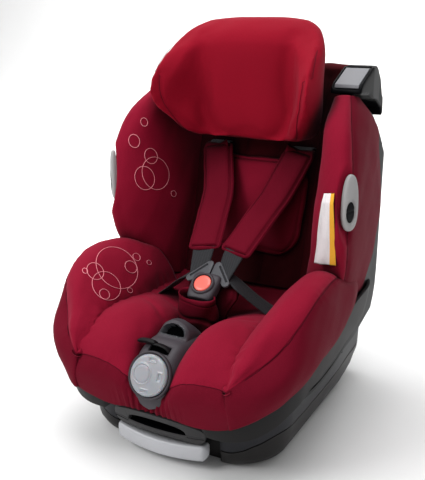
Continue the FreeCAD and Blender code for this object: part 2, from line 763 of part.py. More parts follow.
def headrest_frame():
    """Steel rods behind the back cushion, joined over its top to the carrier."""
    rods = None
    for x in (-50, 50):
        rod = on_back(bar((x, BACK_CUSHION + 7, 0), (x, BACK_CUSHION + 7, 232), 4), 370.0, 0)
        link = on_back(box(x - 8, x + 8, -6, BACK_CUSHION + 10, 214, 226), 370.0, 0)
        piece = rod.fuse(link)
        rods = piece if rods is None else rods.fuse(piece)
    bridge = on_back(box(-58, 58, -6, -2, 206, 228), 370.0, 0)
    return rods.fuse(bridge)


def height_knob():
    grip = bar((0, 262, KNOB_Z), (0, HALF_DEPTH, KNOB_Z), KNOB_RADIUS)
    for index in range(12):
        angle = math.radians(30 * index)
        x = (KNOB_RADIUS + 2) * math.sin(angle)
        z = KNOB_Z + (KNOB_RADIUS + 2) * math.cos(angle)
        grip = grip.cut(bar((x, 250, z), (x, 280, z), 5))
    return grip


def knob_shaft():
    rear = back_y(KNOB_Z, PANEL_OFFSET)
    shaft = bar((0, rear + 2, KNOB_Z), (0, 261.9, KNOB_Z), SHAFT_RADIUS)
    return shaft.fuse(bar((0, 180, KNOB_Z), (0, 196, KNOB_Z), 16))


def main():
    os.makedirs("parts", exist_ok=True)
    save("base_tray", base_tray())
    save("base_upper_cover", base_upper_cover())
    save("base_pads", *base_pads())
    save("base_screws", *pad_screws(), *base_lugs())
    save("notch_plate", notch_plate())
    save("cross_tubes", *cross_tubes())
    save("tube_saddles", *tube_saddles())
    save("seat_shell", seat_shell())
    save("shell_rim", *rim_pieces())
    save("front_lip", front_lip())
    save("slider_shoes", *slider_shoes())
    save("back_cover", back_cover())
    save("seat_foam", seat_foam())
    save("seat_cushion", seat_cushion())
    save("front_skirt", *front_skirt().Solids)
    save("back_cushion", back_cushion())
    save("back_pad", back_pad())
    save("side_tag", side_tag())
    save("buckle_body", buckle_body())
    save("buckle_button", buckle_button())
    save("buckle_spring", buckle_spring())
    save("crotch_strap", crotch_strap())
    save("crotch_pad", crotch_pad())
    save("crotch_anchor", crotch_anchor())
    save("strap_yoke", strap_yoke())
    save("console", console())
    save("front_disc", front_disc())
    save("adjuster_lever", adjuster_lever())
    save("recline_handle", recline_handle())
    save("handle_arms", handle_arms())
    save("handle_springs", *handle_springs())
    save("headrest_cushion", headrest_cushion())
    save("headrest_shell", headrest_shell())
    save("headrest_frame", headrest_frame())
    save("height_knob", height_knob())
    save("knob_shaft", knob_shaft())
    save("clip_inserts", clip_insert(), mirrored(clip_insert()))
    save("pivot_pins", lever_pin(), clamp_pin(), mirrored(clamp_pin()))
    for side, sign in SIDES:
        save("rail_" + side, rail(sign))
        save("seat_bolster_" + side, pick(seat_bolster(), sign))
        save("back_bolster_" + side, pick(back_bolster(), sign))
        save("side_cover_" + side, pick(side_cover(), sign))
        save("shoulder_strap_" + side, pick(shoulder_strap(), sign))
        save("shoulder_pad_" + side, pick(shoulder_pad(), sign))
        save("lap_strap_" + side, pick(lap_strap(), sign))
        save("tongue_" + side, pick(tongue(), sign))
        save("side_clip_" + side, pick(side_clip(), sign))
        save("clamp_housing_" + side, pick(clamp_housing(), sign))
        save("clamp_lever_" + side, pick(clamp_lever(), sign))


main()
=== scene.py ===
import json
import math

import bmesh
import bpy
import numpy as np
from mathutils import Matrix, Vector
from mathutils.bvhtree import BVHTree


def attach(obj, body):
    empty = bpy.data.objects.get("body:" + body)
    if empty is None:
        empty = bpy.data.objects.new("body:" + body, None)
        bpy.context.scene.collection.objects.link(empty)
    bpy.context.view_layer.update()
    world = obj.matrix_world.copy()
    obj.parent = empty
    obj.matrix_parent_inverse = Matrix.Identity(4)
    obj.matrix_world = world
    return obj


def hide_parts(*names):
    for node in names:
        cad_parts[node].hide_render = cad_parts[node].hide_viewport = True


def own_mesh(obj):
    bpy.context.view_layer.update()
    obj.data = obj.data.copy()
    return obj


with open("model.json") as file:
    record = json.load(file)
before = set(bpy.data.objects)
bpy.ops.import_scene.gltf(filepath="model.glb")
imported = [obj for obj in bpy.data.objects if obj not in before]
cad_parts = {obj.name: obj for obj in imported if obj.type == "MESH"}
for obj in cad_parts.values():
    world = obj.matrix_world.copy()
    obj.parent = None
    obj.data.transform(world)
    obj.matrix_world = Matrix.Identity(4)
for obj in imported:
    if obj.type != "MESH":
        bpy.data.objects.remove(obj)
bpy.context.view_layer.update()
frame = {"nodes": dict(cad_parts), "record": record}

MM = 0.001
CLOTH_FRAMES = 18
NODES = frame["nodes"]
SIDES = (("left", 1), ("right", -1))


# ---------------------------------------------------------------- geometry helpers

def smooth_line(points, count, closed=False):
    """Catmull-Rom line through points, sampled evenly in parameter."""
    p = np.asarray(points, float)
    n = len(p)
    spans = n if closed else n - 1
    t = np.linspace(0, spans, count, endpoint=not closed)
    i = np.minimum(t.astype(int), spans - 1)
    f = (t - i)[:, None]
    if closed:
        a, b, c, d = p[(i - 1) % n], p[i % n], p[(i + 1) % n], p[(i + 2) % n]
    else:
        q = np.vstack([2 * p[0] - p[1], p, 2 * p[-1] - p[-2]])
        a, b, c, d = q[i], q[i + 1], q[i + 2], q[i + 3]
    return 0.5 * (2 * b + (c - a) * f + (2 * a - 5 * b + 4 * c - d) * f ** 2
                  + (3 * b - a - 3 * c + d) * f ** 3)


def net(rows, down, across, closed_across=False):
    """Smooth grid through a coarse net: rows is a list of stations, each a list of points."""
    rows = np.asarray(rows, float)
    columns = np.stack([smooth_line(rows[:, j], down) for j in range(rows.shape[1])], 1)
    return np.stack([smooth_line(columns[i], across, closed_across) for i in range(down)])


def mesh_object(name, points, faces):
    """Smooth-shaded object from points in millimetres."""
    mesh = bpy.data.meshes.new(name)
    mesh.from_pydata([tuple(p) for p in np.asarray(points).reshape(-1, 3) * MM], [], faces)
    mesh.update()
    piece = bpy.data.objects.new(name, mesh)
    bpy.context.scene.collection.objects.link(piece)
    smooth(mesh)
    return piece


def object_from(bm, name):
    """New object that takes over a bmesh."""
    mesh = bpy.data.meshes.new(name)
    bm.to_mesh(mesh)
    bm.free()
    piece = bpy.data.objects.new(name, mesh)
    bpy.context.scene.collection.objects.link(piece)
    return piece


def smooth(mesh):
    """Smooth shading on every face."""
    for polygon in mesh.polygons:
        polygon.use_smooth = True


def grid_faces(down, across, closed=False):
    """Four-sided faces between neighbouring rows of a grid."""
    faces = []
    for i in range(down - 1):
        for j in range(across if closed else across - 1):
            k = (j + 1) % across
            low, high = i * across, (i + 1) * across
            faces.append((low + j, low + k, high + k, high + j))
    return faces


def grid_object(name, grid, closed=False, caps=False):
    """Mesh from a grid of points; a closed grid is a tube, and caps fill its ends."""
    down, across = grid.shape[:2]
    faces = grid_faces(down, across, closed)
    if caps:
        faces.append(tuple(reversed(range(across))))
        faces.append(tuple(range((down - 1) * across, down * across)))
    piece = mesh_object(name, grid, faces)
    fix_normals(piece)
    return piece


def fix_normals(piece):
    """Turn every face outward."""
    bm = bmesh.new()
    bm.from_mesh(piece.data)
    bmesh.ops.recalc_face_normals(bm, faces=bm.faces)
    bm.to_mesh(piece.data)
    bm.free()


def face_toward(piece, direction):
    """Flip an open sheet whose faces look away from a direction."""
    if np.mean([p.normal.dot(Vector(direction)) for p in piece.data.polygons]) < 0:
        piece.data.flip_normals()


def second_look(piece, chosen):
    """Give the second look to the faces that a rule picks by their number."""
    for index, polygon in enumerate(piece.data.polygons):
        if chosen(index):
            polygon.material_index = 1


def evaluated(piece):
    """Mesh of a piece with its modifiers applied."""
    depsgraph = bpy.context.evaluated_depsgraph_get()
    return bpy.data.meshes.new_from_object(piece.evaluated_get(depsgraph))


def apply_modifier(piece, kind, **settings):
    """Add a modifier and keep its result as the piece's mesh."""
    modifier = piece.modifiers.new(kind, kind)
    for key, value in settings.items():
        setattr(modifier, key, value)
    mesh = evaluated(piece)
    piece.modifiers.clear()
    old = piece.data
    piece.data = mesh
    bpy.data.meshes.remove(old)
    smooth(mesh)
    return piece


def thicken(piece, wall, offset=-1.0):
    """Give a sheet its wall: inward by default, to both sides at 0, outward at 1."""
    apply_modifier(piece, "SOLIDIFY", thickness=wall * MM, offset=offset)


def soften(piece, width, segments):
    """Round a piece's sharper edges."""
    apply_modifier(piece, "BEVEL", width=width * MM, segments=segments, limit_method="ANGLE",
                   angle_limit=math.radians(50))


def read(mesh, what):
    """Vertex places or normals of a mesh, one row each."""
    flat = np.empty(len(mesh.vertices) * 3)
    mesh.vertices.foreach_get(what, flat)
    return flat.reshape(-1, 3)


def coords(piece):
    """Vertex places in metres."""
    return read(piece.data, "co")


def normals(piece):
    """Vertex normals."""
    return read(piece.data, "normal")


def set_coords(piece, co):
    """Move a piece's vertices to new places, in metres."""
    piece.data.vertices.foreach_set("co", np.ascontiguousarray(co, float).ravel())
    piece.data.update()


def mirror_points(grid, sign):
    """The same points, or their mirror image when sign is -1."""
    out = np.array(grid, float)
    out[..., 0] *= sign
    return out


def tube(name, points, radius, count=24, ring=8, closed=False):
    """Round tube along a smooth line through points, in millimetres."""
    line = smooth_line(points, count, closed)
    ahead = np.roll(line, -1, 0) if closed else np.vstack([line[1:], line[-1:]])
    behind = np.roll(line, 1, 0) if closed else np.vstack([line[:1], line[:-1]])
    grid = []
    normal = None
    for i in range(len(line)):
        along = Vector(ahead[i] - behind[i]).normalized()
        if normal is None:
            normal = along.orthogonal().normalized()
        normal = (normal - along * normal.dot(along)).normalized()
        side = along.cross(normal)
        grid.append([line[i] + radius * np.array(normal * x + side * y) for x, y in circle(1.0, ring)])
    grid = np.array(grid)
    if closed:
        grid = np.concatenate([grid, grid[:1]])
        return grid_object(name, grid, closed=True)
    return grid_object(name, grid, closed=True, caps=True)


def circle(radius, count):
    """Points round a circle, as (x, y) pairs."""
    turns = [2 * math.pi * k / count for k in range(count)]
    return [(radius * math.cos(a), radius * math.sin(a)) for a in turns]


def superellipse(half_x, half_y, count, power=4.0):
    """Rounded rectangle outline, as (x, y) points."""
    out = []
    for k in range(count):
        a = 2 * math.pi * k / count
        c, s = math.cos(a), math.sin(a)
        out.append((half_x * math.copysign(abs(c) ** (2 / power), c),
                    half_y * math.copysign(abs(s) ** (2 / power), s)))
    return out


def join(name, pieces):
    """One object from several meshes."""
    bm = bmesh.new()
    for piece in pieces:
        bm.from_mesh(piece.data)
    out = object_from(bm, name)
    for piece in pieces:
        bpy.data.objects.remove(piece)
    smooth(out.data)
    return out


def running_length(path):
    """Length along a path at each of its points."""
    return np.concatenate([[0], np.cumsum(np.linalg.norm(np.diff(path, axis=0), axis=1))])


def near_path(co, path):
    """Distance of each point to a path, and how far along the path it is met."""
    path = np.asarray(path, float)
    lengths = running_length(path)
    near = np.full(len(co), 1e9)
    met = np.zeros(len(co))
    for i in range(len(path) - 1):
        a, ab = path[i], path[i + 1] - path[i]
        t = np.clip(((co - a) @ ab) / max(ab @ ab, 1e-9), 0, 1)
        far = np.linalg.norm(co - (a + t[:, None] * ab), axis=1)
        closer = far < near
        near = np.where(closer, far, near)
        met = np.where(closer, lengths[i] + t * np.linalg.norm(ab), met)
    return near, met


def noise_push(piece, size, depth, seed=0.0):
    """Soft unevenness along the normals: a few crossed waves, the same each run."""
    co, no = coords(piece), normals(piece)
    p = co / (size * MM)
    wave = (np.sin(p[:, 0] * 1.7 + p[:, 1] * 0.9 + seed) * np.sin(p[:, 2] * 1.3 - p[:, 1] * 1.1 + 2 * seed)
            + 0.6 * np.sin(p[:, 0] * 2.9 - p[:, 2] * 2.3 + 3 * seed) * np.cos(p[:, 1] * 2.6 + seed))
    set_coords(piece, co + no * (wave * depth * MM)[:, None])


def crease(piece, line, width, depth):
    """Press a soft channel into a piece along a line of points."""
    co, no = coords(piece) / MM, normals(piece)
    near = near_path(co, line)[0]
    fall = np.exp(-(near / width) ** 2)
    set_coords(piece, (co - no * (fall * depth)[:, None]) * MM)


def puff(piece, voxel, pressure, cap):
    """Cloth pressure inside a closed piece, with a limit on how far a point may move."""
    apply_modifier(piece, "REMESH", mode="VOXEL", voxel_size=voxel * MM)
    before = coords(piece)
    scene = bpy.context.scene
    modifier = piece.modifiers.new("Cloth", "CLOTH")
    cloth = modifier.settings
    cloth.quality = 4
    cloth.mass = 0.3
    cloth.use_pressure = True
    cloth.uniform_pressure_force = pressure
    cloth.tension_stiffness = 18
    cloth.compression_stiffness = 12
    cloth.bending_stiffness = 0.6
    cloth.effector_weights.gravity = 0
    modifier.point_cache.frame_start = 1
    modifier.point_cache.frame_end = CLOTH_FRAMES
    for step in range(1, CLOTH_FRAMES + 1):
        scene.frame_set(step)
    mesh = evaluated(piece)
    piece.modifiers.clear()
    after = read(mesh, "co")
    move = after - before
    far = np.linalg.norm(move, axis=1)
    scale = np.minimum(1.0, cap * MM / np.maximum(far, 1e-9))
    set_coords(piece, before + move * scale[:, None])
    bpy.data.meshes.remove(mesh)
    scene.frame_set(1)
    apply_modifier(piece, "SMOOTH", factor=0.5, iterations=4)
    return piece


# ---------------------------------------------------------------- materials

def material(name):
    """A new node material, its tree and its main shader."""
    mat = bpy.data.materials.new(name)
    mat.use_nodes = True
    tree = mat.node_tree
    return mat, tree, tree.nodes["Principled BSDF"]


def link(tree, a, out, b, into):
    """Join one node's output to another's input."""
    tree.links.new(a.outputs[out], b.inputs[into])


def node(tree, kind, **values):
    """A new shader node; each value is an input or, failing that, a setting."""
    made = tree.nodes.new(kind)
    for key, value in values.items():
        if key in made.inputs:
            made.inputs[key].default_value = value
        else:
            setattr(made, key, value)
    return made


def fill(made, values):
    """Set a node's inputs by name."""
    for key, value in values.items():
        made.inputs[key].default_value = value


def pattern(tree, kind, stretch=(1, 1, 1), turn=(0, 0, 0), **values):
    """A procedural texture laid in object space, stretched and turned."""
    made = node(tree, kind, **values)
    mapping = node(tree, "ShaderNodeMapping")
    fill(mapping, {"Scale": stretch, "Rotation": turn})
    link(tree, tree.nodes.new("ShaderNodeTexCoord"), "Object", mapping, "Vector")
    link(tree, mapping, "Vector", made, "Vector")
    return made


def toned(tree, by, low, high):
    """A colour that a pattern moves between two others."""
    made = node(tree, "ShaderNodeMix", data_type="RGBA")
    fill(made, {"A": low, "B": high})
    link(tree, by, "Fac", made, "Factor")
    return made


def darkened(tree, colour, by):
    """A colour multiplied by a value."""
    made = node(tree, "ShaderNodeMix", data_type="RGBA", blend_type="MULTIPLY", Factor=1.0)
    link(tree, colour, "Result", made, "A")
    link(tree, by, "Result", made, "B")
    return made


def ranged(tree, source, output, limits):
    """A value brought between new limits."""
    made = node(tree, "ShaderNodeMapRange")
    fill(made, limits)
    link(tree, source, output, made, "Value")
    return made


def added(tree, a, b):
    """Two patterns added up."""
    made = node(tree, "ShaderNodeMath", operation="ADD")
    link(tree, a, "Fac", made, 0)
    link(tree, b, "Fac", made, 1)
    return made


def bumped(tree, shader, source, output, strength, distance):
    """Fine relief on the shader from a pattern."""
    bump = node(tree, "ShaderNodeBump", Strength=strength, Distance=distance)
    link(tree, source, output, bump, "Height")
    link(tree, bump, "Normal", shader, "Normal")


def shade(colour, factor):
    """Colour made darker or lighter."""
    return tuple(min(1.0, c * factor) for c in colour[:3]) + (1.0,)


def fabric(name, colour, sheen, sheen_tint, contrast=0.10):
    """Knitted stretch fabric: fine ribs and stitches, cloudy tone, painted shade in hollows from an
    ambient-occlusion node, soft sheen.
    """
    mat, tree, shader = material(name)
    cloud = pattern(tree, "ShaderNodeTexNoise", Scale=9.0, Detail=4.0)
    fleck = pattern(tree, "ShaderNodeTexNoise", Scale=900.0, Detail=2.0)
    tone = toned(tree, cloud, shade(colour, 1 - contrast), shade(colour, 1 + contrast))
    speck = darkened(tree, tone, ranged(tree, fleck, "Fac", {"To Min": 0.82, "To Max": 1.12}))
    # Painted shade: an ambient-occlusion node darkens the base colour in hollows, creases and gaps between
    # parts.
    hollow = node(tree, "ShaderNodeAmbientOcclusion", samples=8, Distance=0.16)
    link(tree, speck, "Result", hollow, "Color")
    depth = ranged(tree, hollow, "AO", {"From Min": 0.12, "From Max": 0.75, "To Min": 0.06})
    link(tree, darkened(tree, speck, depth), "Result", shader, "Base Color")
    fill(shader, {"Roughness": 0.82, "Specular IOR Level": 0.09, "Sheen Weight": sheen,
                  "Sheen Roughness": 0.42, "Sheen Tint": sheen_tint + (1.0,)})
    rib, row = (pattern(tree, "ShaderNodeTexWave", turn=turn, Scale=scale, Distortion=0.6, Detail=1.0)
                for turn, scale in (((0.3, 0.5, 0.78), 190.0), ((0.2, -0.6, -0.78), 230.0)))
    bumped(tree, shader, added(tree, rib, row), "Value", 0.12, 0.0006)
    return mat


def plastic(name, colour, rough, grain=1.0, coat=0.0, metal=0.0, shine=0.5):
    """Moulded plastic: fine spark grain, slight tone and gloss variation."""
    mat, tree, shader = material(name)
    cloud = pattern(tree, "ShaderNodeTexNoise", Scale=14.0, Detail=5.0)
    link(tree, toned(tree, cloud, shade(colour, 0.92), shade(colour, 1.08)), "Result", shader, "Base Color")
    gloss = ranged(tree, cloud, "Fac", {"To Min": rough * 0.85, "To Max": min(1.0, rough * 1.2)})
    link(tree, gloss, "Result", shader, "Roughness")
    fill(shader, {"Coat Weight": coat, "Coat Roughness": 0.12, "Metallic": metal, "Specular IOR Level": shine})
    spark = pattern(tree, "ShaderNodeTexNoise", Scale=1400.0, Detail=2.0)
    bumped(tree, shader, spark, "Fac", 0.10 * grain, 0.0003)
    return mat


def webbing(name, colour):
    """Woven seat-belt webbing: diagonal twill with fine cross threads."""
    mat, tree, shader = material(name)
    twill = pattern(tree, "ShaderNodeTexWave", turn=(0.0, 0.9, 0.6), Scale=150.0, Distortion=0.2)
    thread = pattern(tree, "ShaderNodeTexWave", turn=(0.9, -0.4, 0.3), Scale=420.0, Distortion=0.5)
    link(tree, toned(tree, twill, shade(colour, 0.7), shade(colour, 1.25)), "Result", shader, "Base Color")
    fill(shader, {"Roughness": 0.6, "Sheen Weight": 0.06, "Specular IOR Level": 0.25})
    bumped(tree, shader, added(tree, twill, thread), "Value", 0.3, 0.0005)
    return mat


def frosted(name):
    """Translucent silicone-like disc."""
    mat, tree, shader = material(name)
    cloud = pattern(tree, "ShaderNodeTexNoise", Scale=60.0, Detail=3.0)
    tone = toned(tree, cloud, (0.42, 0.42, 0.46, 1), (0.54, 0.54, 0.58, 1))
    link(tree, tone, "Result", shader, "Base Color")
    fill(shader, {"Roughness": 0.32, "Transmission Weight": 0.35, "Subsurface Weight": 0.25,
                  "Coat Weight": 0.4, "Coat Roughness": 0.2})
    return mat


def steel(name):
    """Zinc-plated steel with fine brush lines."""
    mat, tree, shader = material(name)
    brush = pattern(tree, "ShaderNodeTexNoise", stretch=(1, 30, 1), Scale=80.0, Detail=6.0)
    link(tree, ranged(tree, brush, "Fac", {"To Min": 0.25, "To Max": 0.5}), "Result", shader, "Roughness")
    fill(shader, {"Metallic": 1.0, "Base Color": (0.55, 0.55, 0.57, 1)})
    return mat


PINK = (1.0, 0.42, 0.55)
BRIGHT = fabric("knit_bright_crimson", (0.265, 0.0025, 0.015), 0.05, PINK)
RED = fabric("knit_crimson", (0.235, 0.0040, 0.022), 0.09, PINK)
WINE = fabric("knit_wine", (0.130, 0.0015, 0.012), 0.02, PINK)
# Darker copy of the knit for the recessed backrest centre: painted shade where the bolsters and pads shade it.
PAINTED_SHADE_KNIT = fabric("knit_painted_shade_wine", (0.070, 0.0012, 0.005), 0.02, PINK)
SEAM = fabric("seam_thread", (0.060, 0.0015, 0.008), 0.02, PINK)
RINGS = fabric("ring_thread", (0.95, 0.30, 0.36), 0.3, PINK, contrast=0.05)
BELT = webbing("webbing_charcoal", (0.014, 0.015, 0.018))
DARK = plastic("plastic_charcoal", (0.048, 0.042, 0.050), 0.48, shine=0.3)
BLACK = plastic("plastic_black", (0.004, 0.004, 0.005), 0.5, shine=0.18)
# Near-black, shineless plastic: painted shade for the inside of the console's mouth and slot and the lip's
# finger slot.
RECESS_SHADE_BLACK = plastic("plastic_painted_recess_shade", (0.0015, 0.0015, 0.002), 0.8, shine=0.0)
LIP = plastic("plastic_lip_grey", (0.030, 0.029, 0.030), 0.5, shine=0.25)
RIM = plastic("plastic_warm_grey", (0.013, 0.0123, 0.0125), 0.52, shine=0.13)
BAND = plastic("plastic_blue_black", (0.009, 0.009, 0.013), 0.42, shine=0.28)
TRAY = plastic("plastic_brown_black", (0.013, 0.0115, 0.0115), 0.42, shine=0.22)
GLOSS = plastic("plastic_gloss_black", (0.0035, 0.0035, 0.0045), 0.36, grain=0.3, shine=0.04)
SILVER = plastic("plastic_silver", (0.48, 0.485, 0.51), 0.40, grain=0.6, metal=0.1)
LEVER = plastic("plastic_lever_silver", (0.20, 0.203, 0.22), 0.42, grain=0.6, shine=0.3)
CLIP = plastic("plastic_clip_silver", (0.34, 0.335, 0.335), 0.40, grain=0.6, shine=0.4)
MID = plastic("plastic_mid_grey", (0.060, 0.062, 0.070), 0.42, shine=0.35)
PALE = plastic("plastic_pale", (0.6, 0.6, 0.58), 0.5)
SALMON = plastic("button_salmon", (0.86, 0.135, 0.10), 0.36, coat=0.3)
RUBBER = plastic("rubber_black", (0.02, 0.02, 0.02), 0.8, grain=3.0)
LABEL = fabric("tag_white", (0.80, 0.76, 0.77), 0.1, (1, 1, 1), contrast=0.04)
AMBER = fabric("tag_amber", (0.85, 0.42, 0.04), 0.1, (1, 1, 1), contrast=0.04)
FOAM = plastic("foam_pale", (0.75, 0.75, 0.74), 0.9, grain=4.0)
FROST = frosted("disc_frosted")
STEEL = steel("steel_plated")
SLOT_LOOKS = {"fabric_bright": BRIGHT, "fabric_red": RED, "fabric_wine": WINE, "webbing": BELT,
              "foam": FOAM, "tag_white": LABEL, "plastic_dark": DARK, "plastic_black": BLACK,
              "plastic_rim": RIM, "plastic_base": TRAY, "plastic_band": BAND, "plastic_silver": SILVER,
              "plastic_frosted": FROST, "plastic_gloss": GLOSS, "plastic_mid": MID,
              "plastic_pale": PALE, "button_salmon": SALMON, "rubber_black": RUBBER, "steel": STEEL}
NODE_SLOT = {s["node"]: s["material_slot"] for s in frame["record"]["subparts"]}
BODY_OF = {n: body for body, members in frame["record"]["behaviour"]["bodies"].items() for n in members}


def dress_frame():
    """Every carried-over node gets its slot's look, and the arms and pins a blue-black one."""
    for name, piece in NODES.items():
        look = BAND if name in ("handle_arms", "pivot_pins") else SLOT_LOOKS[NODE_SLOT[name]]
        piece.data.materials.clear()
        piece.data.materials.append(look)


def finish(piece, looks, body, replaced=()):
    """Give a piece its looks and body, and hide the nodes it stands for."""
    mesh = piece.data
    shares = np.zeros(len(mesh.polygons), dtype=np.int32)
    mesh.polygons.foreach_get("material_index", shares)
    mesh.materials.clear()
    for look in looks if isinstance(looks, (list, tuple)) else [looks]:
        mesh.materials.append(look)
    mesh.polygons.foreach_set("material_index", shares)
    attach(piece, body)
    if replaced:
        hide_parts(*replaced)
    return piece


def rounded(node, look, width=1.6, corner=34):
    """Bevelled copy of a hard CAD node, which it replaces."""
    bm = bmesh.new()
    bm.from_mesh(NODES[node].data)
    bmesh.ops.remove_doubles(bm, verts=bm.verts, dist=2e-5)
    bmesh.ops.dissolve_limit(bm, angle_limit=math.radians(1.0), verts=bm.verts, edges=bm.edges)
    piece = object_from(bm, node + "_moulded")
    apply_modifier(piece, "BEVEL", width=width * MM, segments=3, limit_method="ANGLE",
                   angle_limit=math.radians(corner), use_clamp_overlap=True)
    piece.data.set_sharp_from_angle(angle=math.radians(42))
    finish(piece, look, BODY_OF[node], [node])
    return piece


def band(name, path, half, thick, across=(1, 0, 0), stitch=None, round_end=0.0, count=40, wide=28):
    """Flat pad or strap along a path: rounded edges, rounded ends, and a stitched line inside its border."""
    line = smooth_line(path, count)
    lengths = running_length(line)
    total = lengths[-1]
    halves = half if callable(half) else (lambda share: half)
    rows = []
    for i in range(count):
        along = line[min(i + 1, count - 1)] - line[max(i - 1, 0)]
        along /= np.linalg.norm(along)
        side_hint = across(i / (count - 1)) if callable(across) else across
        normal = np.cross(along, np.asarray(side_hint, float))
        normal /= np.linalg.norm(normal)
        side = np.cross(normal, along)
        left = min(lengths[i], total - lengths[i])
        width = halves(i / (count - 1))
        shrink = 0.0
        if round_end and left < round_end:
            shrink = round_end - math.sqrt(max(round_end ** 2 - (round_end - left) ** 2, 0.0))
        row = []
        for face in (1, -1):
            for k in range(wide + 1):
                u = math.cos(math.pi * k / wide) * face
                x = u * (width - shrink)
                edge = min(width - shrink - abs(x), left)
                swell = thick / 2 * (1 - math.exp(-max(edge, 0) / (0.28 * thick + 0.2)))
                if stitch:
                    swell -= 0.30 * thick * math.exp(-((edge - stitch) / 1.3) ** 2)
                    swell += 0.10 * thick * min(1.0, max(edge - stitch, 0) / 8)
                if face * k == wide or (face == -1 and k == wide):
                    continue
                row.append(line[i] + side * x + normal * face * max(swell, 0.15))
        rows.append(row)
    grid = np.array(rows)
    return grid_object(name, grid, closed=True, caps=True)


def ribbon_between(name, edge_a, edge_b, wall):
    """Webbing between two edge lines."""
    a, b = smooth_line(edge_a, 30), smooth_line(edge_b, 30)
    grid = np.stack([a + (b - a) * t for t in np.linspace(0, 1, 8)], 1)
    piece = grid_object(name, grid)
    thicken(piece, wall, 0.0)
    return piece


def ring_profile(name, profile, place_at=(0, 0, 0), turn=Matrix.Identity(4)):
    """Lathe: (radius, height) profile about the local -Y axis, set in place."""
    rows = [[(x, -height, z) for x, z in circle(radius, 64)] for radius, height in profile]
    piece = grid_object(name, np.array(rows), closed=True, caps=True)
    piece.data.transform(Matrix.Translation(Vector(place_at) * MM) @ turn)
    return piece


def height_line(places):
    """Height as a smooth function of depth, from (y, z) places."""
    fine = smooth_line(places, 120)
    return lambda x, y: float(np.interp(y, fine[:, 0], fine[:, 1]))


# ---------------------------------------------------------------- backrest plane

TAN_LEAN = 0.33


def back_y(z, offset=0.0):
    """Depth of the backrest's front plane at a height."""
    return 62.0 + (z - 250.0) * TAN_LEAN + offset


# ---------------------------------------------------------------- padded side covers

BACK_NET = [
    # rear edge, rear corner, side bulge, seam, crown, inner edge, inner face, back plane
    [(158, 140, 478), (170, 118, 496), (178, 84, 514), (175, 50, 522),
     (160, 42, 522), (147, 56, 517), (140, 92, 512), (136, 132, 508)],
    [(177, 186, 440), (185, 160, 462), (194, 90, 486), (195, 0, 480), (174, -10, 484),
     (150, 10, 480), (140, 60, 478), (130, 128, 474)],
    [(178, 210, 398), (188, 182, 412), (201, 96, 440), (207, -22, 430),
     (182, -34, 432), (153, -8, 430), (138, 46, 430), (127, 114, 430)],
    [(178, 221, 345), (189, 194, 360), (204, 96, 385), (213, -35, 380),
     (186, -46, 380), (153, -18, 380), (136, 36, 380), (125, 100, 380)],
    [(178, 225, 295), (189, 198, 310), (203, 96, 330), (212, -38, 340),
     (183, -45, 340), (149, -16, 340), (132, 34, 338), (122, 86, 338)],
    [(178, 219, 245), (188, 192, 262), (202, 84, 280), (210, -34, 298),
     (180, -38, 298), (145, -8, 294), (127, 34, 290), (119, 72, 290)],
    [(178, 208, 212), (188, 178, 225), (199, 74, 236), (205, -24, 262),
     (173, -26, 258), (139, 0, 250), (123, 30, 240), (117, 58, 236)],
    [(178, 192, 186), (186, 150, 188), (192, 70, 196), (190, -4, 208),
     (160, -2, 204), (133, 10, 200), (119, 30, 196), (115, 46, 196)],
]
BACK_NET = [row + [(row[-1][0] - 8, row[-1][1] + 14, row[-1][2])] for row in BACK_NET]

SEAT_NET = [
    # rim edge, low bulge, side bulge, seam, crown, inner edge, inner face, cushion edge
    [(181, 122, 190), (192, 88, 210), (197, 44, 236), (192, -20, 258),
     (168, -16, 258), (140, -2, 246), (122, 6, 218), (114, 10, 192)],
    [(190, 62, 174), (203, 44, 200), (208, 8, 230), (200, -50, 267), (172, -50, 273),
     (144, -46, 256), (122, -42, 222), (113, -40, 190)],
    [(195, -20, 153), (209, -30, 182), (213, -50, 222), (204, -96, 270),
     (174, -98, 276), (144, -98, 254), (122, -96, 220), (113, -94, 191)],
    [(196, -100, 145), (211, -104, 176), (214, -112, 220), (205, -138, 264),
     (173, -146, 269), (145, -146, 246), (124, -144, 218), (115, -142, 196)],
    [(197, -165, 142), (210, -168, 170), (212, -174, 204), (198, -184, 240),
     (170, -192, 246), (146, -194, 230), (128, -192, 212), (119, -190, 200)],
    [(188, -212, 133), (199, -216, 158), (197, -219, 182), (176, -212, 204),
     (156, -222, 211), (141, -227, 206), (130, -227, 198), (123, -225, 192)],
    [(164, -240, 118), (171, -245, 142), (167, -248, 162), (151, -242, 181),
     (143, -246, 185), (135, -248, 182), (130, -247, 178), (126, -245, 174)],
    [(133, -256, 102), (132, -261, 122), (129, -261, 143), (127, -257, 160), (126.5, -256, 161),
     (126, -255, 162), (125.5, -254, 162), (125, -253, 161)],
    [(126, -249, 102), (125, -252, 122), (123, -252, 142), (121, -250, 155), (121, -249, 156),
     (120.5, -248, 156), (120, -247, 156), (120, -246, 155)],
]
SEAT_NET = [row + [(row[-1][0] - 9, row[-1][1], row[-1][2] - 12)] for row in SEAT_NET]
SEAM_COLUMN = 3 / 8
COVER_WALL = 6
SEAM_LINES = []
CLIP_CENTRE = np.array([209.0, -33.0, 377.0])
CLIP_TURN = math.radians(45)


def cover_piece(name, rows, sign):
    """One sewn cover: a smooth net whose side panel is in the darker fabric."""
    down, across = 120, 96
    grid = net(mirror_points(rows, sign), down, across)
    piece = grid_object(name, grid)
    mesh = piece.data
    inward = Vector((0, 60, 240)) * MM
    if np.mean([(p.center - inward).dot(p.normal) for p in mesh.polygons]) < 0:
        mesh.flip_normals()
    limit = SEAM_COLUMN * (across - 1)
    second_look(piece, lambda i: i % (across - 1) < limit - 0.5)
    return piece, grid


def seam_of(grid):
    """The column of a cover's grid that its seam runs along."""
    return grid[:, int(SEAM_COLUMN * (grid.shape[1] - 1))]


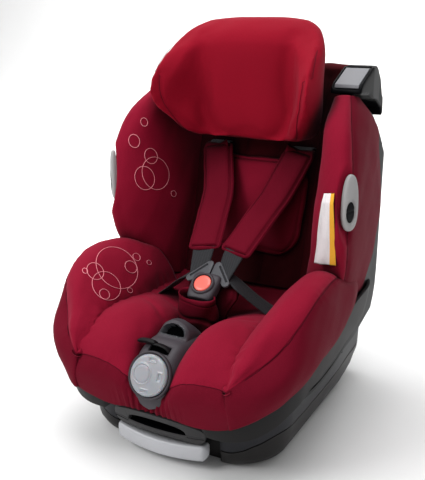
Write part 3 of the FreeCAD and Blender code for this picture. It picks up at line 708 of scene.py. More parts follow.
def calm(piece, before, place):
    """Bring a small crowded patch of the cover back to its plain shape."""
    near, far = 12.0, 30.0
    co = coords(piece)
    gap = np.linalg.norm(before / MM - np.asarray(place, float), axis=1)
    keep = np.clip((far - gap) / (far - near), 0, 1)[:, None]
    set_coords(piece, co * (1 - keep) + before * keep)


def clip_pocket(piece, sign):
    """Press the cover in behind the side clip's plate."""
    co = coords(piece) / MM
    local = co * np.array([sign, 1, 1]) - CLIP_CENTRE
    out = (local[:, 0] * math.sin(CLIP_TURN) - local[:, 1] * math.cos(CLIP_TURN))
    along = (local[:, 0] * math.cos(CLIP_TURN) + local[:, 1] * math.sin(CLIP_TURN))
    reach = np.sqrt((along / 18.0) ** 2 + (local[:, 2] / 47.0) ** 2)
    hold = np.clip((1.45 - reach) / 0.45, 0, 1)
    push = np.maximum(out + 5.0, 0) * hold
    co[:, 0] -= sign * push * math.sin(CLIP_TURN)
    co[:, 1] += push * math.cos(CLIP_TURN)
    set_coords(piece, co * MM)


def sew(piece, line, width=1.5, depth=1.7, soft=7.0, soft_depth=1.2):
    """A seam: a soft valley with a sharp stitched line at its bottom."""
    crease(piece, line, soft, soft_depth)
    crease(piece, line, width, depth)
    SEAM_LINES.append(laid(surface(piece), line))


def surface(piece):
    """Search tree over the piece's faces."""
    faces = [tuple(p.vertices) for p in piece.data.polygons]
    return BVHTree.FromPolygons([v.co.copy() for v in piece.data.vertices], faces)


def laid(tree, line):
    """The points of a line, each moved to the nearest place on a surface."""
    return [tuple(tree.find_nearest(Vector(p) * MM)[0] / MM) for p in line]


def pucker(piece, line, spacing, reach, depth, seed):
    """Small gathers that run out from a seam."""
    co, no = coords(piece) / MM, normals(piece)
    near, met = near_path(co, line)
    phase = met / spacing * 2 * math.pi
    wave = np.sin(phase + 1.3 * np.sin(phase * 0.37 + seed)) * (0.6 + 0.4 * np.sin(phase * 0.23 + 2 * seed))
    fall = np.exp(-(near / reach) ** 2) * np.clip(near / 3.0, 0, 1)
    set_coords(piece, (co + no * (wave * fall * depth)[:, None]) * MM)


def side_covers():
    """Back and seat bolster covers of both sides; gives their surfaces for the embroidery."""
    covers = {}
    for side, sign in SIDES:
        back, grid = cover_piece("back_cover_panel_" + side, BACK_NET, sign)
        noise_push(back, 36, 0.9, seed=sign)
        noise_push(back, 14, 0.22, seed=2 + sign)
        seam = seam_of(grid)
        pucker(back, seam, spacing=15, reach=9, depth=0.45, seed=sign)
        clip_pocket(back, sign)
        sew(back, seam)
        covers["back", side] = surface(back)
        thicken(back, COVER_WALL)
        finish(back, [RED, WINE], "shell", ["back_bolster_" + side, "side_cover_" + side])
        seat, grid = cover_piece("seat_cover_panel_" + side, SEAT_NET, sign)
        plain = coords(seat)
        noise_push(seat, 42, 1.0, seed=3 * sign)
        noise_push(seat, 15, 0.25, seed=5 + sign)
        seam = seam_of(grid)
        pucker(seat, seam, spacing=16, reach=10, depth=0.5, seed=2 * sign)
        pucker(seat, grid[:, -13], spacing=19, reach=17, depth=1.3, seed=4 * sign)
        sew(seat, seam[:int(0.84 * len(seam))])
        calm(seat, plain, (sign * 127, -257, 161))
        covers["seat", side] = surface(seat)
        thicken(seat, COVER_WALL)
        finish(seat, [RED, WINE], "shell", ["seat_bolster_" + side])
    return covers


# ---------------------------------------------------------------- seat cushion and skirt

LOBE_X = [0, 22, 40, 58, 82, 106, 126]
CUSHION_ROWS = [
    # y, then z at each of the LOBE_X places
    (66, [196, 197, 198, 200, 202, 204, 208]),
    (20, [183, 183, 184, 186, 188, 190, 194]),
    (-40, [178, 178, 180, 184, 190, 192, 194]),
    (-90, [172, 175, 184, 192, 198, 198, 196]),
    (-130, [162, 172, 190, 201, 208, 206, 200]),
    (-170, [156, 168, 192, 207, 214, 210, 203]),
    (-205, [146, 158, 184, 202, 209, 205, 197]),
    (-234, [138, 148, 168, 184, 190, 188, 182]),
    (-252, [128, 136, 150, 160, 165, 167, 167]),
]
SKIRT_ROWS = [
    (-260, [118, 124, 138, 147, 150, 149, 143]),
    (-264, [110, 114, 124, 132, 134, 133, 128]),
    (-262, [101, 102, 108, 112, 114, 115, 115]),
    (-257, [92, 92, 92, 90, 91, 95, 102]),
]


def seat_centre():
    """Two thigh lobes and the apron below their front seam, as one sewn piece."""
    rows = []
    for y, heights in CUSHION_ROWS + SKIRT_ROWS:
        right = []
        for x, z in zip(LOBE_X, heights):
            back = 0.0
            wide = x
            if y < -200:
                held = float(np.interp(z, [90, 104, 112], [0.1, 0.6, 1.0]))
                back = (x / 126.0) ** 4 * 4.0 + max(0.0, 1 - x / 42.0) * 15.0 * held
            if y < -256:
                wide = x * (1 + 0.06 * float(np.interp(z, [102, 160], [1, 0])))
            right.append((wide, y + back, z))
        rows.append([(-x, y, z) for x, y, z in reversed(right[1:])] + right)
    down, across = 160, 210
    grid = net(rows, down, across)
    piece = grid_object("seat_centre", grid)
    face_toward(piece, (0, 0, 1))
    noise_push(piece, 38, 0.9, seed=0.7)
    noise_push(piece, 14, 0.22, seed=1.7)
    limit = (len(CUSHION_ROWS) - 0.5) / (len(rows) - 1) * (down - 1)
    front = grid[int(round(limit))]
    for edge in (grid[:100, 0], grid[:100, -1]):
        pucker(piece, edge, spacing=21, reach=16, depth=1.2, seed=edge[0][0])
    pucker(piece, front, spacing=13, reach=9, depth=0.5, seed=1.0)
    sew(piece, front)
    co = coords(piece) / MM
    gather = np.exp(-(co[:, 0] / 34) ** 2) * np.clip((134 - co[:, 2]) / 24, 0, 1)
    phase = co[:, 0] * 0.62 + 0.9 * np.sin(co[:, 2] * 0.11) + 0.6 * np.sin(co[:, 0] * 0.21)
    co[:, 1] -= (np.sin(phase) + 0.4 * np.sin(2.3 * phase + 1)) * gather * 2.2
    set_coords(piece, co * MM)
    for x0, x1, y0 in ((26, 108, -96), (-26, -108, -96), (30, 96, -150), (-30, -96, -150)):
        line = [(x0 + (x1 - x0) * t, y0 + 26 * t * t, 196) for t in np.linspace(0, 1, 12)]
        crease(piece, laid(surface(piece), line), 7, 1.6)
    second_look(piece, lambda i: i // (across - 1) >= limit)
    thicken(piece, COVER_WALL)
    finish(piece, [RED, WINE], "shell", ["seat_cushion", "front_skirt"])


# ---------------------------------------------------------------- backrest centre

BACK_LEVELS = (196, 230, 270, 320, 380, 440, 500, 540, 553, 559, 556)
BACK_ROLL = {559: 10, 556: 24}


def back_centre():
    """Backrest fabric with sewn channels, rolled back over its top edge, in a darkened knit that paints the
    shade of the recess.
    """
    rows = []
    for z in BACK_LEVELS:
        half = 124 if z < 470 else 132
        y = back_y(min(z, 553)) + BACK_ROLL.get(z, 0)
        rows.append([(half * f, y + 4 * f * f - 2, z) for f in (-1, -0.66, -0.33, 0, 0.33, 0.66, 1)])
    grid = net(rows, 120, 90)
    piece = grid_object("back_centre", grid)
    face_toward(piece, (0, -1, 0))
    noise_push(piece, 30, 1.2, seed=0.3)
    noise_push(piece, 12, 0.3, seed=1.3)
    for x in (-100, 100, -30, 30):
        sew(piece, [(x, back_y(z), z) for z in range(200, 548, 12)],
            width=1.8, depth=1.8, soft=9, soft_depth=2.4)
    thicken(piece, 8)
    # The darkened knit paints the shade that falls on the recessed backrest centre.
    finish(piece, PAINTED_SHADE_KNIT, "shell", ["back_cushion"])


def back_pad():
    """Loose comfort pad with a bound, rounded lower edge."""
    places = [(0, back_y(z, -7), z) for z in (404, 370, 330, 290, 250)]
    piece = band("back_pad_soft", places, 94, 13, stitch=6, round_end=42, count=70, wide=48)
    noise_push(piece, 26, 1.0, seed=1.9)
    finish(piece, RED, "shell", ["back_pad"])


# ---------------------------------------------------------------- headrest

HEAD_SEAMS = []
WING_SEAM = [(130, 26, 592), (131, 10, 574), (129, -7, 551), (124, -17, 527),
             (116, -18, 503), (111, -8, 487), (103, 17, 462), (92, 38, 449)]
WING_VALLEY = [(82, 42, 612), (76, 38, 580), (72, 36, 548), (72, 37, 520), (77, 42, 484), (80, 46, 462)]
HEAD_LEVELS = [
    # z, tip (x, y), middle y, side (x, y), rear corner (x, y), rear y
    (444, 84, 36, 56, 95, 66, 95, 98, 106),
    (452, 96, 19, 53, 107, 58, 104, 94, 108),
    (472, 111, -2, 50, 119, 44, 112, 88, 109),
    (498, 127, -24, 47, 130, 24, 114, 84, 110),
    (524, 132, -31, 44, 134, 16, 113, 82, 114),
    (552, 130, -20, 41, 133, 20, 112, 83, 122),
    (578, 127, 6, 39, 130, 38, 108, 91, 130),
    (601, 120, 40, 41, 123, 60, 100, 99, 134),
    (617, 107, 62, 50, 111, 79, 92, 103, 134),
    (629, 86, 80, 66, 90, 94, 73, 109, 130),
]


def head_loop(z, tip_x, tip_y, middle, side_x, side_y, rear_x, rear_y, rear):
    """Loop round the headrest at one height: middle of the front, wing tip, side, back."""
    deep = middle - tip_y
    right = [(0, middle - 3), (tip_x * 0.32, middle - 2.5), (tip_x * 0.58, middle + 1.0 + 0.02 * deep),
             (tip_x * 0.72, middle - 0.16 * deep), (tip_x * 0.84, middle - 0.58 * deep),
             (tip_x * 0.95, tip_y + 3), (tip_x, tip_y), (side_x, tip_y * 0.6 + side_y * 0.4),
             (side_x, side_y), ((side_x + rear_x) / 2 + 3, (side_y + rear_y) / 2 + 3), (rear_x, rear_y),
             (rear_x * 0.55, rear - 3)]
    left = [(-x, y) for x, y in reversed(right[1:])]
    return [(x, y, z) for x, y in right + [(0, rear)] + left]


def head_cap(ring, middle, shares):
    """Rings that close the headrest's top or bottom."""
    middle, ring = np.array(middle, float), np.array(ring)
    return [[tuple(p) for p in middle + (ring - middle) * f + np.array((0, 0, dz))] for f, dz in shares]


def headrest():
    """Headrest cushion with two wings: a puffed loop section, sewn along the wings' edges."""
    rows = [head_loop(*level) for level in HEAD_LEVELS]
    low = head_cap(rows[0], np.mean(rows[0], axis=0), ((0.04, -4.0), (0.5, -3.8), (0.9, -2.0)))
    high = head_cap(rows[-1], np.mean(rows[-1], axis=0), ((0.86, 2.8), (0.55, 4.0), (0.04, 4.2)))
    grid = net(low + rows + high, 120, 170, closed_across=True)
    piece = grid_object("headrest_soft", grid, closed=True, caps=True)
    puff(piece, voxel=4.5, pressure=2.0, cap=3)
    apply_modifier(piece, "SUBSURF", levels=1)
    for sign in (1, -1):
        tree = surface(piece)
        line = laid(tree, smooth_line(mirror_points(WING_SEAM, sign), 60))
        HEAD_SEAMS.append(line)
        crease(piece, line, 6, 1.2)
        crease(piece, line, 1.4, 1.0)
        crease(piece, laid(tree, mirror_points(smooth_line(WING_VALLEY, 40), sign)), 12, 3.2)
    noise_push(piece, 40, 0.7, seed=2.2)
    finish(piece, BRIGHT, "headrest", ["headrest_cushion"])


# ---------------------------------------------------------------- harness

BUCKLE_CENTRE = Vector((2, -92, 232))
BUCKLE_TURN = Matrix.Rotation(math.radians(-50), 4, "X")
BUCKLE_PLACE = Matrix.Translation(BUCKLE_CENTRE * MM) @ BUCKLE_TURN
BUTTON_PLACE = BUCKLE_PLACE @ Matrix.Translation(Vector((0, 0, -2)) * MM)
WELL_RADIUS, WELL_FLOOR = 16.0, -5.0
HALF_WEBBING, WEBBING_WALL = 19, 1.6
PAD_PATH = [(76, 99, 419), (75, 94, 414), (54, 56, 353), (41, 10, 316), (30, -34, 283), (27, -46, 275)]


def in_buckle(points):
    """Points (x, depth, height) of the buckle's own frame, in place."""
    return [tuple(BUCKLE_TURN @ Vector(p) + BUCKLE_CENTRE) for p in points]


def harness():
    """Shoulder pads, webbing, tongues, buckle and the sleeve between the legs."""
    for side, sign in SIDES:
        path = [(sign * x, y, z) for x, y, z in PAD_PATH]
        pad = band("shoulder_pad_soft_" + side, path, 28, 13, stitch=5, round_end=9, count=90, wide=30)
        noise_push(pad, 20, 0.8, seed=1 + sign)
        finish(pad, WINE, "shell", ["shoulder_pad_" + side])
        inner, outer = ([(sign * (x + shift), y, z) for x, y, z in ((41, 10, 316), (30, -34, 284))]
                        for shift in (-HALF_WEBBING, HALF_WEBBING))
        top, corner = in_buckle([(sign * 9, 0, 42), (sign * 34, 0, 15)])
        under = in_buckle([(sign * 4, 4, 37), (sign * 29, 4, 10)])
        strap = ribbon_between("shoulder_webbing_" + side, inner + [top, under[0]],
                               outer + [corner, under[1]], WEBBING_WALL)
        slot_end = [(sign * x, y, z) for x, y, z in ((76, 99, 421), (77, 112, 425), (78, 126, 421))]
        upper = band("upper_webbing_" + side, slot_end, HALF_WEBBING, 2.2, count=12, wide=10)
        strap = join("shoulder_webbing_" + side, [strap, upper])
        finish(strap, BELT, "shell", ["shoulder_strap_" + side])
        near, far = in_buckle([(sign * 10, 3, 41), (sign * 34, 3, 15)])
        lap = ribbon_between("lap_webbing_" + side,
                             [near, (sign * 40, -54, 240), (sign * 70, -42, 212), (sign * 104, -28, 186)],
                             [far, (sign * 52, -84, 231), (sign * 82, -76, 207), (sign * 112, -66, 184)],
                             WEBBING_WALL)
        finish(lap, BELT, "shell", ["lap_strap_" + side])
        tongue(side, sign)
    buckle()
    crotch()


def tongue(side, sign):
    """Triangular tongue with a slanted slot for the folded webbing."""
    outline = [(1.2, 12), (12, 11), (20, 12), (27, 5), (32.5, 3), (37.5, 6), (38, 12), (35, 16.5), (12, 43.5),
               (7, 46), (3, 44), (1.2, 40)]
    slot = [(9.5, 37.5), (31.5, 11.5), (34.0, 13.5), (12.0, 39.7)]
    outline = [(sign * x, v) for x, v in outline]
    slot = [(sign * x, v) for x, v in slot]
    bm = bmesh.new()
    loops = []
    for points in (outline, slot):
        verts = [bm.verts.new(Vector((x, 0, v)) * MM) for x, v in points]
        loops.append([bm.edges.new((verts[i], verts[(i + 1) % len(verts)])) for i in range(len(verts))])
    bmesh.ops.triangle_fill(bm, edges=loops[0] + loops[1], use_beauty=True)
    piece = object_from(bm, "tongue_plate_" + side)
    thicken(piece, 4.5, 0.0)
    soften(piece, 1.0, 3)
    piece.data.set_sharp_from_angle(angle=math.radians(40))
    piece.data.transform(BUCKLE_PLACE)
    finish(piece, MID, "shell", ["tongue_" + side])


def buckle():
    """Buckle case with a collar and a well for its round button, and the coil spring behind it."""
    levels = [(-27, 16, 7), (-26, 19, 9.5), (-20, 21.5, 11), (-8, 23, 11.5), (6, 24, 11.5), (14, 23, 10.5),
              (18, 21, 8.5), (20, 18, 6)]
    rows = [[(x, y, v) for x, y in superellipse(half, deep, 48, 3.6)] for v, half, deep in levels]
    low = [[(x * f, y * f, v) for x, y, v in rows[0]] for f in (0.05, 0.6)]
    high = [[(x * f, y * f, v) for x, y, v in rows[-1]] for f in (0.6, 0.05)]
    rows = low + rows + high
    piece = grid_object("buckle_case", net(rows, 60, 96, closed_across=True), closed=True, caps=True)
    co = coords(piece) / MM
    well = (np.hypot(co[:, 0], co[:, 2] + 2) < WELL_RADIUS) & (co[:, 1] < WELL_FLOOR)
    co[well, 1] = WELL_FLOOR
    set_coords(piece, co * MM)
    piece.data.transform(BUCKLE_PLACE)
    collar = ring_profile("collar", [(15.3, 9.0), (15.3, 12.4), (15.9, 13.8), (17.0, 14.0), (18.4, 12.8),
                                     (19.6, 9.8), (19.8, 8.0)])
    collar.data.transform(BUTTON_PLACE)
    finish(join("buckle_case", [piece, collar]), DARK, "shell", ["buckle_body"])
    button = ring_profile("buckle_push_cap", [(0.5, 13.8), (6, 13.7), (10.6, 13.4), (13.0, 12.9),
                                              (14.1, 12.0), (14.1, 9.2), (0.5, 9.2)])
    button.data.transform(BUTTON_PLACE)
    finish(button, SALMON, "buckle_press", ["buckle_button"])
    turns = [2 * math.pi * k / 16 for k in range(65)]
    helix = [(4 * math.cos(a), -4.0 - 4.6 * a / turns[-1], 4 * math.sin(a)) for a in turns]
    coil = tube("push_spring", in_buckle(helix), 0.45, 200, 6)
    finish(coil, STEEL, "shell", ["buckle_spring"])
    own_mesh(coil)


def crotch():
    """Sleeve between the legs: a pouch in front of the buckle and a flap behind it."""
    def flap_half(share):
        return float(np.interp(share, [0, 0.4, 0.72, 0.9, 1], [25, 34, 46, 45, 40]))

    flap = band("crotch_flap", [(4, -87, 168), (5, -85, 190), (6, -80, 212), (7, -72, 236)], flap_half, 9,
                stitch=5, round_end=10, count=40)
    noise_push(flap, 16, 1.0, seed=3.1)
    levels = [(156, -108, 27, 17), (172, -109, 32, 20), (186, -112, 34, 20), (200, -115, 32, 19),
              (213, -117, 30, 18), (221, -118, 30.5, 18), (225, -118, 30, 17)]
    rows = []
    for z, y, half, deep in levels:
        rows.append([(x, y + v + 0.10 * x * x / 30, z - 0.12 * x + 0.08 * v)
                     for x, v in superellipse(half, deep, 44, 2.6)])
    rows.append([(p[0] * 0.90, -120 + (p[1] + 120) * 0.88, p[2] - 1.5) for p in rows[-1]])
    rows.append([(p[0] * 0.86, -118 + (p[1] + 118) * 0.82, p[2] - 16) for p in rows[-3]])
    pouch = grid_object("crotch_pouch", net(rows, 70, 110, closed_across=True), closed=True, caps=True)
    co = coords(pouch) / MM
    fold = np.exp(-((co[:, 2] - 190 + 0.25 * co[:, 0] - 4 * np.sin(co[:, 0] * 0.09)) / 3.2) ** 2)
    hem = np.exp(-((co[:, 2] - 216 + 0.12 * co[:, 0]) / 1.2) ** 2)
    no = normals(pouch)
    set_coords(pouch, (co - no * (3.6 * fold + 0.9 * hem)[:, None]) * MM)
    noise_push(pouch, 17, 1.3, seed=0.4)
    finish(join("crotch_sleeve", [flap, pouch]), WINE, "shell", ["crotch_pad"])
    strap = band("crotch_webbing", [(0, -95, 101), (0, -98, 160), (0, -106, 200)], HALF_WEBBING, 2.2,
                 count=14, wide=10)
    finish(strap, BELT, "shell", ["crotch_strap"])


# ---------------------------------------------------------------- console, disc and adjuster

CONSOLE_LINE = [
    # y, z and half width along the spine, from the rear end over the top to the foot
    (-126, 156, 27), (-134, 170, 31), (-150, 179, 34), (-172, 183, 35), (-192, 185, 35), (-212, 184.5, 34),
    (-232, 176, 34), (-247, 161, 35), (-254, 143, 35), (-257, 127, 34), (-258, 115, 31), (-258, 106, 25),
    (-257, 100, 15), (-255, 97, 2),
]
MOUTH_FLOOR = 187.5
DISC_TURN = Matrix.Rotation(math.radians(-25), 4, "X")
DISC_CENTRE = Vector((0, -252.8, 150))
DISC_RADIUS = 30.0
DISC_POCKETS = ((3.5, 23.0, 0.1), (19.5, 1.0, 1.57), (-1.0, -23.5, 0.0))


def console():
    """Bowed dark moulding over the front edge: arch sections along its spine, a D-shaped mouth and a slot."""
    down, across = 380, 161
    line = smooth_line(CONSOLE_LINE, down)
    rows = []
    for i, (y, z, half) in enumerate(line):
        along = line[min(i + 1, down - 1)][:2] - line[max(i - 1, 0)][:2]
        along /= np.linalg.norm(along)
        out = (along[1], -along[0])
        row = []
        for k in range(across):
            u = -1 + 2 * k / (across - 1)
            drop = 16 * abs(u) ** 6 + 1.6 * u * u
            row.append((half * np.sign(u) * min(1.0, abs(u) * 1.04), y - out[0] * drop, z - out[1] * drop))
        rows.append(row)
    piece = grid_object("console_moulding", np.array(rows))
    face_toward(piece, (0, -1, 1))
    co = coords(piece) / MM
    ramp = np.interp(co[:, 1], [-198, -192, -178, -165, -132], [0, 0.06, 1, 1, 0])
    co[:, 2] += 22 * np.sqrt(np.clip(1 - (co[:, 0] / 26) ** 2, 0, 1)) * ramp * (co[:, 2] > 150)
    set_coords(piece, co * MM)
    no = normals(piece)
    mouth = d_shape(co)
    rim = np.exp(-(mouth / 1.3) ** 2) * np.clip((co[:, 2] - 184.5) / 3, 0, 1)
    sink = np.clip(-mouth / 1.2, 0, 1)
    slot = slot_shape(co)
    slot_rim = np.exp(-(slot / 1.2) ** 2)
    slot_sink = np.clip(-slot / 1.2, 0, 1)
    shift = 1.0 * rim * (sink < 0.5) - 11 * sink - 2.5 * slot_sink + 0.5 * slot_rim
    set_coords(piece, (co + no * shift[:, None]) * MM)
    for polygon in piece.data.polygons:
        corners = list(polygon.vertices)
        at_mouth, at_slot = np.mean(mouth[corners]), np.mean(slot[corners])
        if abs(at_mouth) < 1.3 and polygon.center.z > 185 * MM:
            polygon.material_index = 2
        # Faces inside the mouth and slot take the near-black look, painted shade for the openings' insides.
        if at_mouth < -1.0 or at_slot < -0.8:
            polygon.material_index = 1
    thicken(piece, 3)
    disc_seat = ring_profile("disc_seat", [(29, -3), (31.2, -2), (33.4, 1.0), (34.6, -1.5), (34.8, -6),
                                           (29, -7)], DISC_CENTRE, DISC_TURN)
    piece.data.set_sharp_from_angle(angle=math.radians(38))
    piece = join("console_moulding", [piece, disc_seat])
    finish(piece, [DARK, RECESS_SHADE_BLACK, MID], "shell", ["console"])


def d_shape(co):
    """Signed distance, in millimetres, to the D-shaped mouth near the console's top."""
    x, y, z = co[:, 0], co[:, 1], co[:, 2]
    flat = MOUTH_FLOOR - z
    dome = np.sqrt((x / 20.0) ** 2 + ((z - MOUTH_FLOOR) / 14.0) ** 2) * 18 - 18
    return np.where((z > 150) & (y < -173), np.maximum(flat, dome), 50.0)


def slot_shape(co):
    """Signed distance to the strap slot in front of the mouth."""
    x, y = co[:, 0], co[:, 1]
    return np.where(co[:, 2] > 150, np.maximum(np.abs(x - 2) - 17.0, np.abs(y + 225.0) - 6.5), 50.0)


def disc():
    """Frosted turn disc: domed plate with an offset ring and three pockets."""
    rings, around = 60, 120
    rows = []
    for i in range(rings):
        r = DISC_RADIUS * i / (rings - 1)
        row = []
        for x, z in circle(r, around):
            h = 5.0 - 0.9 * (r / DISC_RADIUS) ** 2 - 3.2 * max(0.0, (r - 26.5) / 3.5) ** 2.2
            off = math.hypot(x + 9.0, z - 0.5)
            h += 1.1 * math.exp(-((off - 14.5) / 1.0) ** 2) + 0.9 / (1 + math.exp((off - 12.5) / 0.5))
            h -= 0.8 * math.exp(-((off - 12.6) / 0.8) ** 2)
            for px, pz, turn in DISC_POCKETS:
                u = (x - px) * math.cos(turn) + (z - pz) * math.sin(turn)
                v = -(x - px) * math.sin(turn) + (z - pz) * math.cos(turn)
                d = max(abs(u) - 6.0, abs(v) - 3.2)
                h += 0.9 * math.exp(-(d / 0.9) ** 2) - 1.3 / (1 + math.exp((d + 0.8) / 0.35))
            row.append((x, -h, z))
        rows.append(row)
    back = [[(x, 5 - 2.5 * (f == 1), z) for x, z in circle(DISC_RADIUS * f, around)]
            for f in (1, 0.93, 0.5, 0.02)]
    rows[0] = [(x, rows[0][0][1], z) for x, z in circle(0.02, around)]
    piece = grid_object("turn_disc", np.array(rows + back), closed=True, caps=True)
    piece.data.transform(Matrix.Translation(DISC_CENTRE * MM) @ DISC_TURN)
    finish(piece, FROST, "disc", ["front_disc"])


def adjuster():
    """Release tab in the slot with the folded strap end that sticks out beside it."""
    across = (0, 1, -0.35)
    tab = band("tab", [(-8, -224, 185), (2, -224, 185), (12, -223, 182), (18, -222, 177)], 7.5, 4.5,
               across, round_end=3, count=24, wide=14)
    fold = band("fold", [(-38, -218, 182), (-28, -220, 185), (-16, -223, 187), (-4, -225, 187)], 6.0, 9,
                across, round_end=2, count=24, wide=14)
    finish(join("strap_release", [tab, fold]), BLACK, "adjuster", ["adjuster_lever"])


# ---------------------------------------------------------------- rim, lip, handle and base

def rounded_plan(half, front, rear, front_radius, rear_radius, count, open_rear=None):
    """Points and outward normals round a rounded rectangle, or along it from one rear end to the other."""
    points = []
    corners = [(half - front_radius, front + front_radius, front_radius, 0.0, -90.0),
               (-(half - front_radius), front + front_radius, front_radius, -90.0, -180.0),
               (-(half - rear_radius), rear - rear_radius, rear_radius, 180.0, 90.0),
               (half - rear_radius, rear - rear_radius, rear_radius, 90.0, 0.0)]
    if open_rear is not None:
        right, left = corners[3][:3] + (open_rear, 0.0), corners[2][:3] + (180.0, 180.0 - open_rear)
        corners = [right] + corners[:2] + [left]
    for x, y, radius, start, end in corners:
        for angle in np.radians(np.linspace(start, end, 24)):
            c, s = math.cos(angle), math.sin(angle)
            points.append((x + radius * c, y + radius * s, c, s))
    if open_rear is None:
        points.append(points[0])
    line = np.array(points)
    lengths = running_length(line[:, :2])
    wanted = np.linspace(0, lengths[-1], count, endpoint=open_rear is not None)
    return np.stack([np.interp(wanted, lengths, line[:, k]) for k in range(4)], 1)


RIM_HIGH = height_line([(-250, 108), (-238, 118), (-223, 130), (-200, 146), (-158, 160), (-92, 168),
                        (-18, 178), (36, 186), (90, 191), (150, 196), (206, 200)])
RIM_LOW = height_line([(-250, 71), (-240, 75), (-228, 81), (-209, 91), (-170, 108), (-86, 116), (15, 124),
                       (101, 138), (140, 150), (163, 170), (185, 181), (200, 189)])


def rim():
    """Skirt of the seat shell, seen as a band below the covers."""
    outline = rounded_plan(199, -250, 205, 98, 84, 280, open_rear=64.0)
    rows = []
    for share in np.linspace(0, 1, 26):
        row = []
        for x, y, nx, ny in outline:
            low, high = RIM_LOW(x, y), RIM_HIGH(x, y)
            hide = min(1.0, max(0.0, (86 - abs(x)) / 14)) * (y < -200)
            low = low + (84 - low) * hide
            draw = 6.0 * (1 - share) ** 1.6 + 7.0 * hide
            row.append((x - nx * draw, y - ny * draw, low + (high - low) * share))
        rows.append(row)
    piece = grid_object("shell_skirt", np.array(rows))
    thicken(piece, 5)
    soften(piece, 1.4, 3)
    finish(piece, RIM, "shell", ["shell_rim"])


def lip():
    """Bowed bezel under the skirt with a long finger slot."""
    rows = []
    reach = 0.62
    for k in range(121):
        u = -1 + 2 * k / 120
        end = math.sqrt(max(1 - max(0.0, (abs(u) - 0.86) / 0.14) ** 2, 0.0))
        low = 48 - 5 * u * u
        top = 86 - 17 * u * u
        middle = 0.45 * top + 0.55 * low
        low, top = middle + (low - middle) * end - 0.3, middle + (top - middle) * end + 0.3
        inside = abs(u) < reach
        slot_low = 58.5
        arch = math.sqrt(max(1 - (u / reach) ** 2, 0.0)) if inside else 0.0
        slot_high = slot_low + 17.0 * arch ** 0.8
        levels = [low, low + 1.2, max(min(slot_low - 2.5, top - 4), low + 1.6), min(slot_low, top - 3),
                  min((slot_low + slot_high) / 2, top - 2.5), min(slot_high, top - 2), top - 1.2, top]
        levels = np.maximum.accumulate(levels)
        depth = 13.0 * min(1.0, arch * 2.2)
        edge = 0.6 * (arch > 0)
        sunk = [2.6, 0.4, 0.0, edge, depth, depth, edge, 0.4, 2.6]
        row = []
        for share in np.linspace(0, 7, 71):
            z = float(np.interp(share, range(8), levels))
            inset = float(np.interp(share, [0, 1, 2, 3, 3.3, 4.7, 5, 6, 7], sunk))
            rise = (z - 43) / 43
            x = (74 + 14 * min(rise, 0.9)) * u
            y = -(236 + 14 * rise) + (9 + 6 * rise) * u * u
            row.append((x, y + inset, z))
        rows.append(row)
    front = grid_object("lip_front", np.array(rows))
    face_toward(front, (0, -1, 0))
    # Faces inside the finger slot take the near-black look, painted shade for the slot's inside.
    second_look(front, lambda i: 30 <= i % 70 < 49.5 and abs(-1 + 2 * (i // 70) / 120) < reach - 0.012)
    thicken(front, 3)
    finish(front, [LIP, RECESS_SHADE_BLACK], "shell", ["front_lip"])


def handle():
    """Silver grip bar, bowed like the lip."""
    rows = []
    for k in range(61):
        u = -1 + 2 * k / 60
        x = 77.5 * u
        end = math.sqrt(max(1 - max(0, (abs(u) - 0.93) / 0.07) ** 2, 0.02))
        y = -219 - 9 * (1 - u * u)
        z = 30.5 - 5.0 * (1 - u * u)
        rows.append([(x, y + a * end, z + b * end) for a, b in superellipse(10, 12.5, 36, 4.2)])
    piece = grid_object("recline_grip_bar", np.array(rows), closed=True, caps=True)
    finish(piece, SILVER, "recline_grip", ["recline_handle"])


PLAN_HEIGHTS = (0, 4, 10, 20, 34, 60, 120, 180)
PLAN_HALVES = (148, 154, 159, 164, 168, 172, 172, 168)


def base_ring(heights):
    """One loop round the base; the height may vary along it, and the plan follows the height."""
    plans = {}
    for z, half in zip(PLAN_HEIGHTS, PLAN_HALVES):
        front = float(np.interp(z, [0, 4, 10, 20, 60], [-190, -197, -203, -207, -206]))
        rear = float(np.interp(z, [0, 13, 40, 64, 90, 130, 180], [122, 150, 196, 212, 222, 216, 190]))
        plans[z] = rounded_plan(half, front, rear, 76, 46, 300)
    row = []
    for k in range(300):
        z = heights(*plans[60][k][:2])
        x, y = (float(np.interp(z, PLAN_HEIGHTS, [plans[v][k][a] for v in PLAN_HEIGHTS])) for a in (0, 1))
        if y < -150:
            y = max(y, -184 - 22 * float(np.interp(abs(x), [84, 89], [0, 1])))
        row.append((x, y, z))
    return row


GROOVE = height_line([(-208, 27), (-200, 36), (-189, 45), (-157, 57), (-79, 54), (40, 54), (117, 63),
                      (161, 67), (222, 86)])
COVER_TOP = height_line([(-208, 64), (-200, 78), (-189, 86), (-157, 98), (-79, 106), (40, 114), (117, 130),
                         (161, 146), (222, 168)])
RING_SHARES = [0.0, 0.02, 0.06, 0.14, 0.26, 0.4, 0.55, 0.7, 0.84, 0.93, 0.98, 1.0]
HALF_GAP = 0.9
SOLE_HEIGHT = 0.4


def base_wall(name, bottom, top):
    """Wall of the base between two heights, thin and softly edged."""
    rows = []
    for share in RING_SHARES:
        rows.append(base_ring(lambda x, y: bottom(x, y) + (top(x, y) - bottom(x, y)) * share))
    piece = grid_object(name, np.array(rows), closed=True)
    thicken(piece, 3.5)
    soften(piece, 0.9, 2)
    return piece


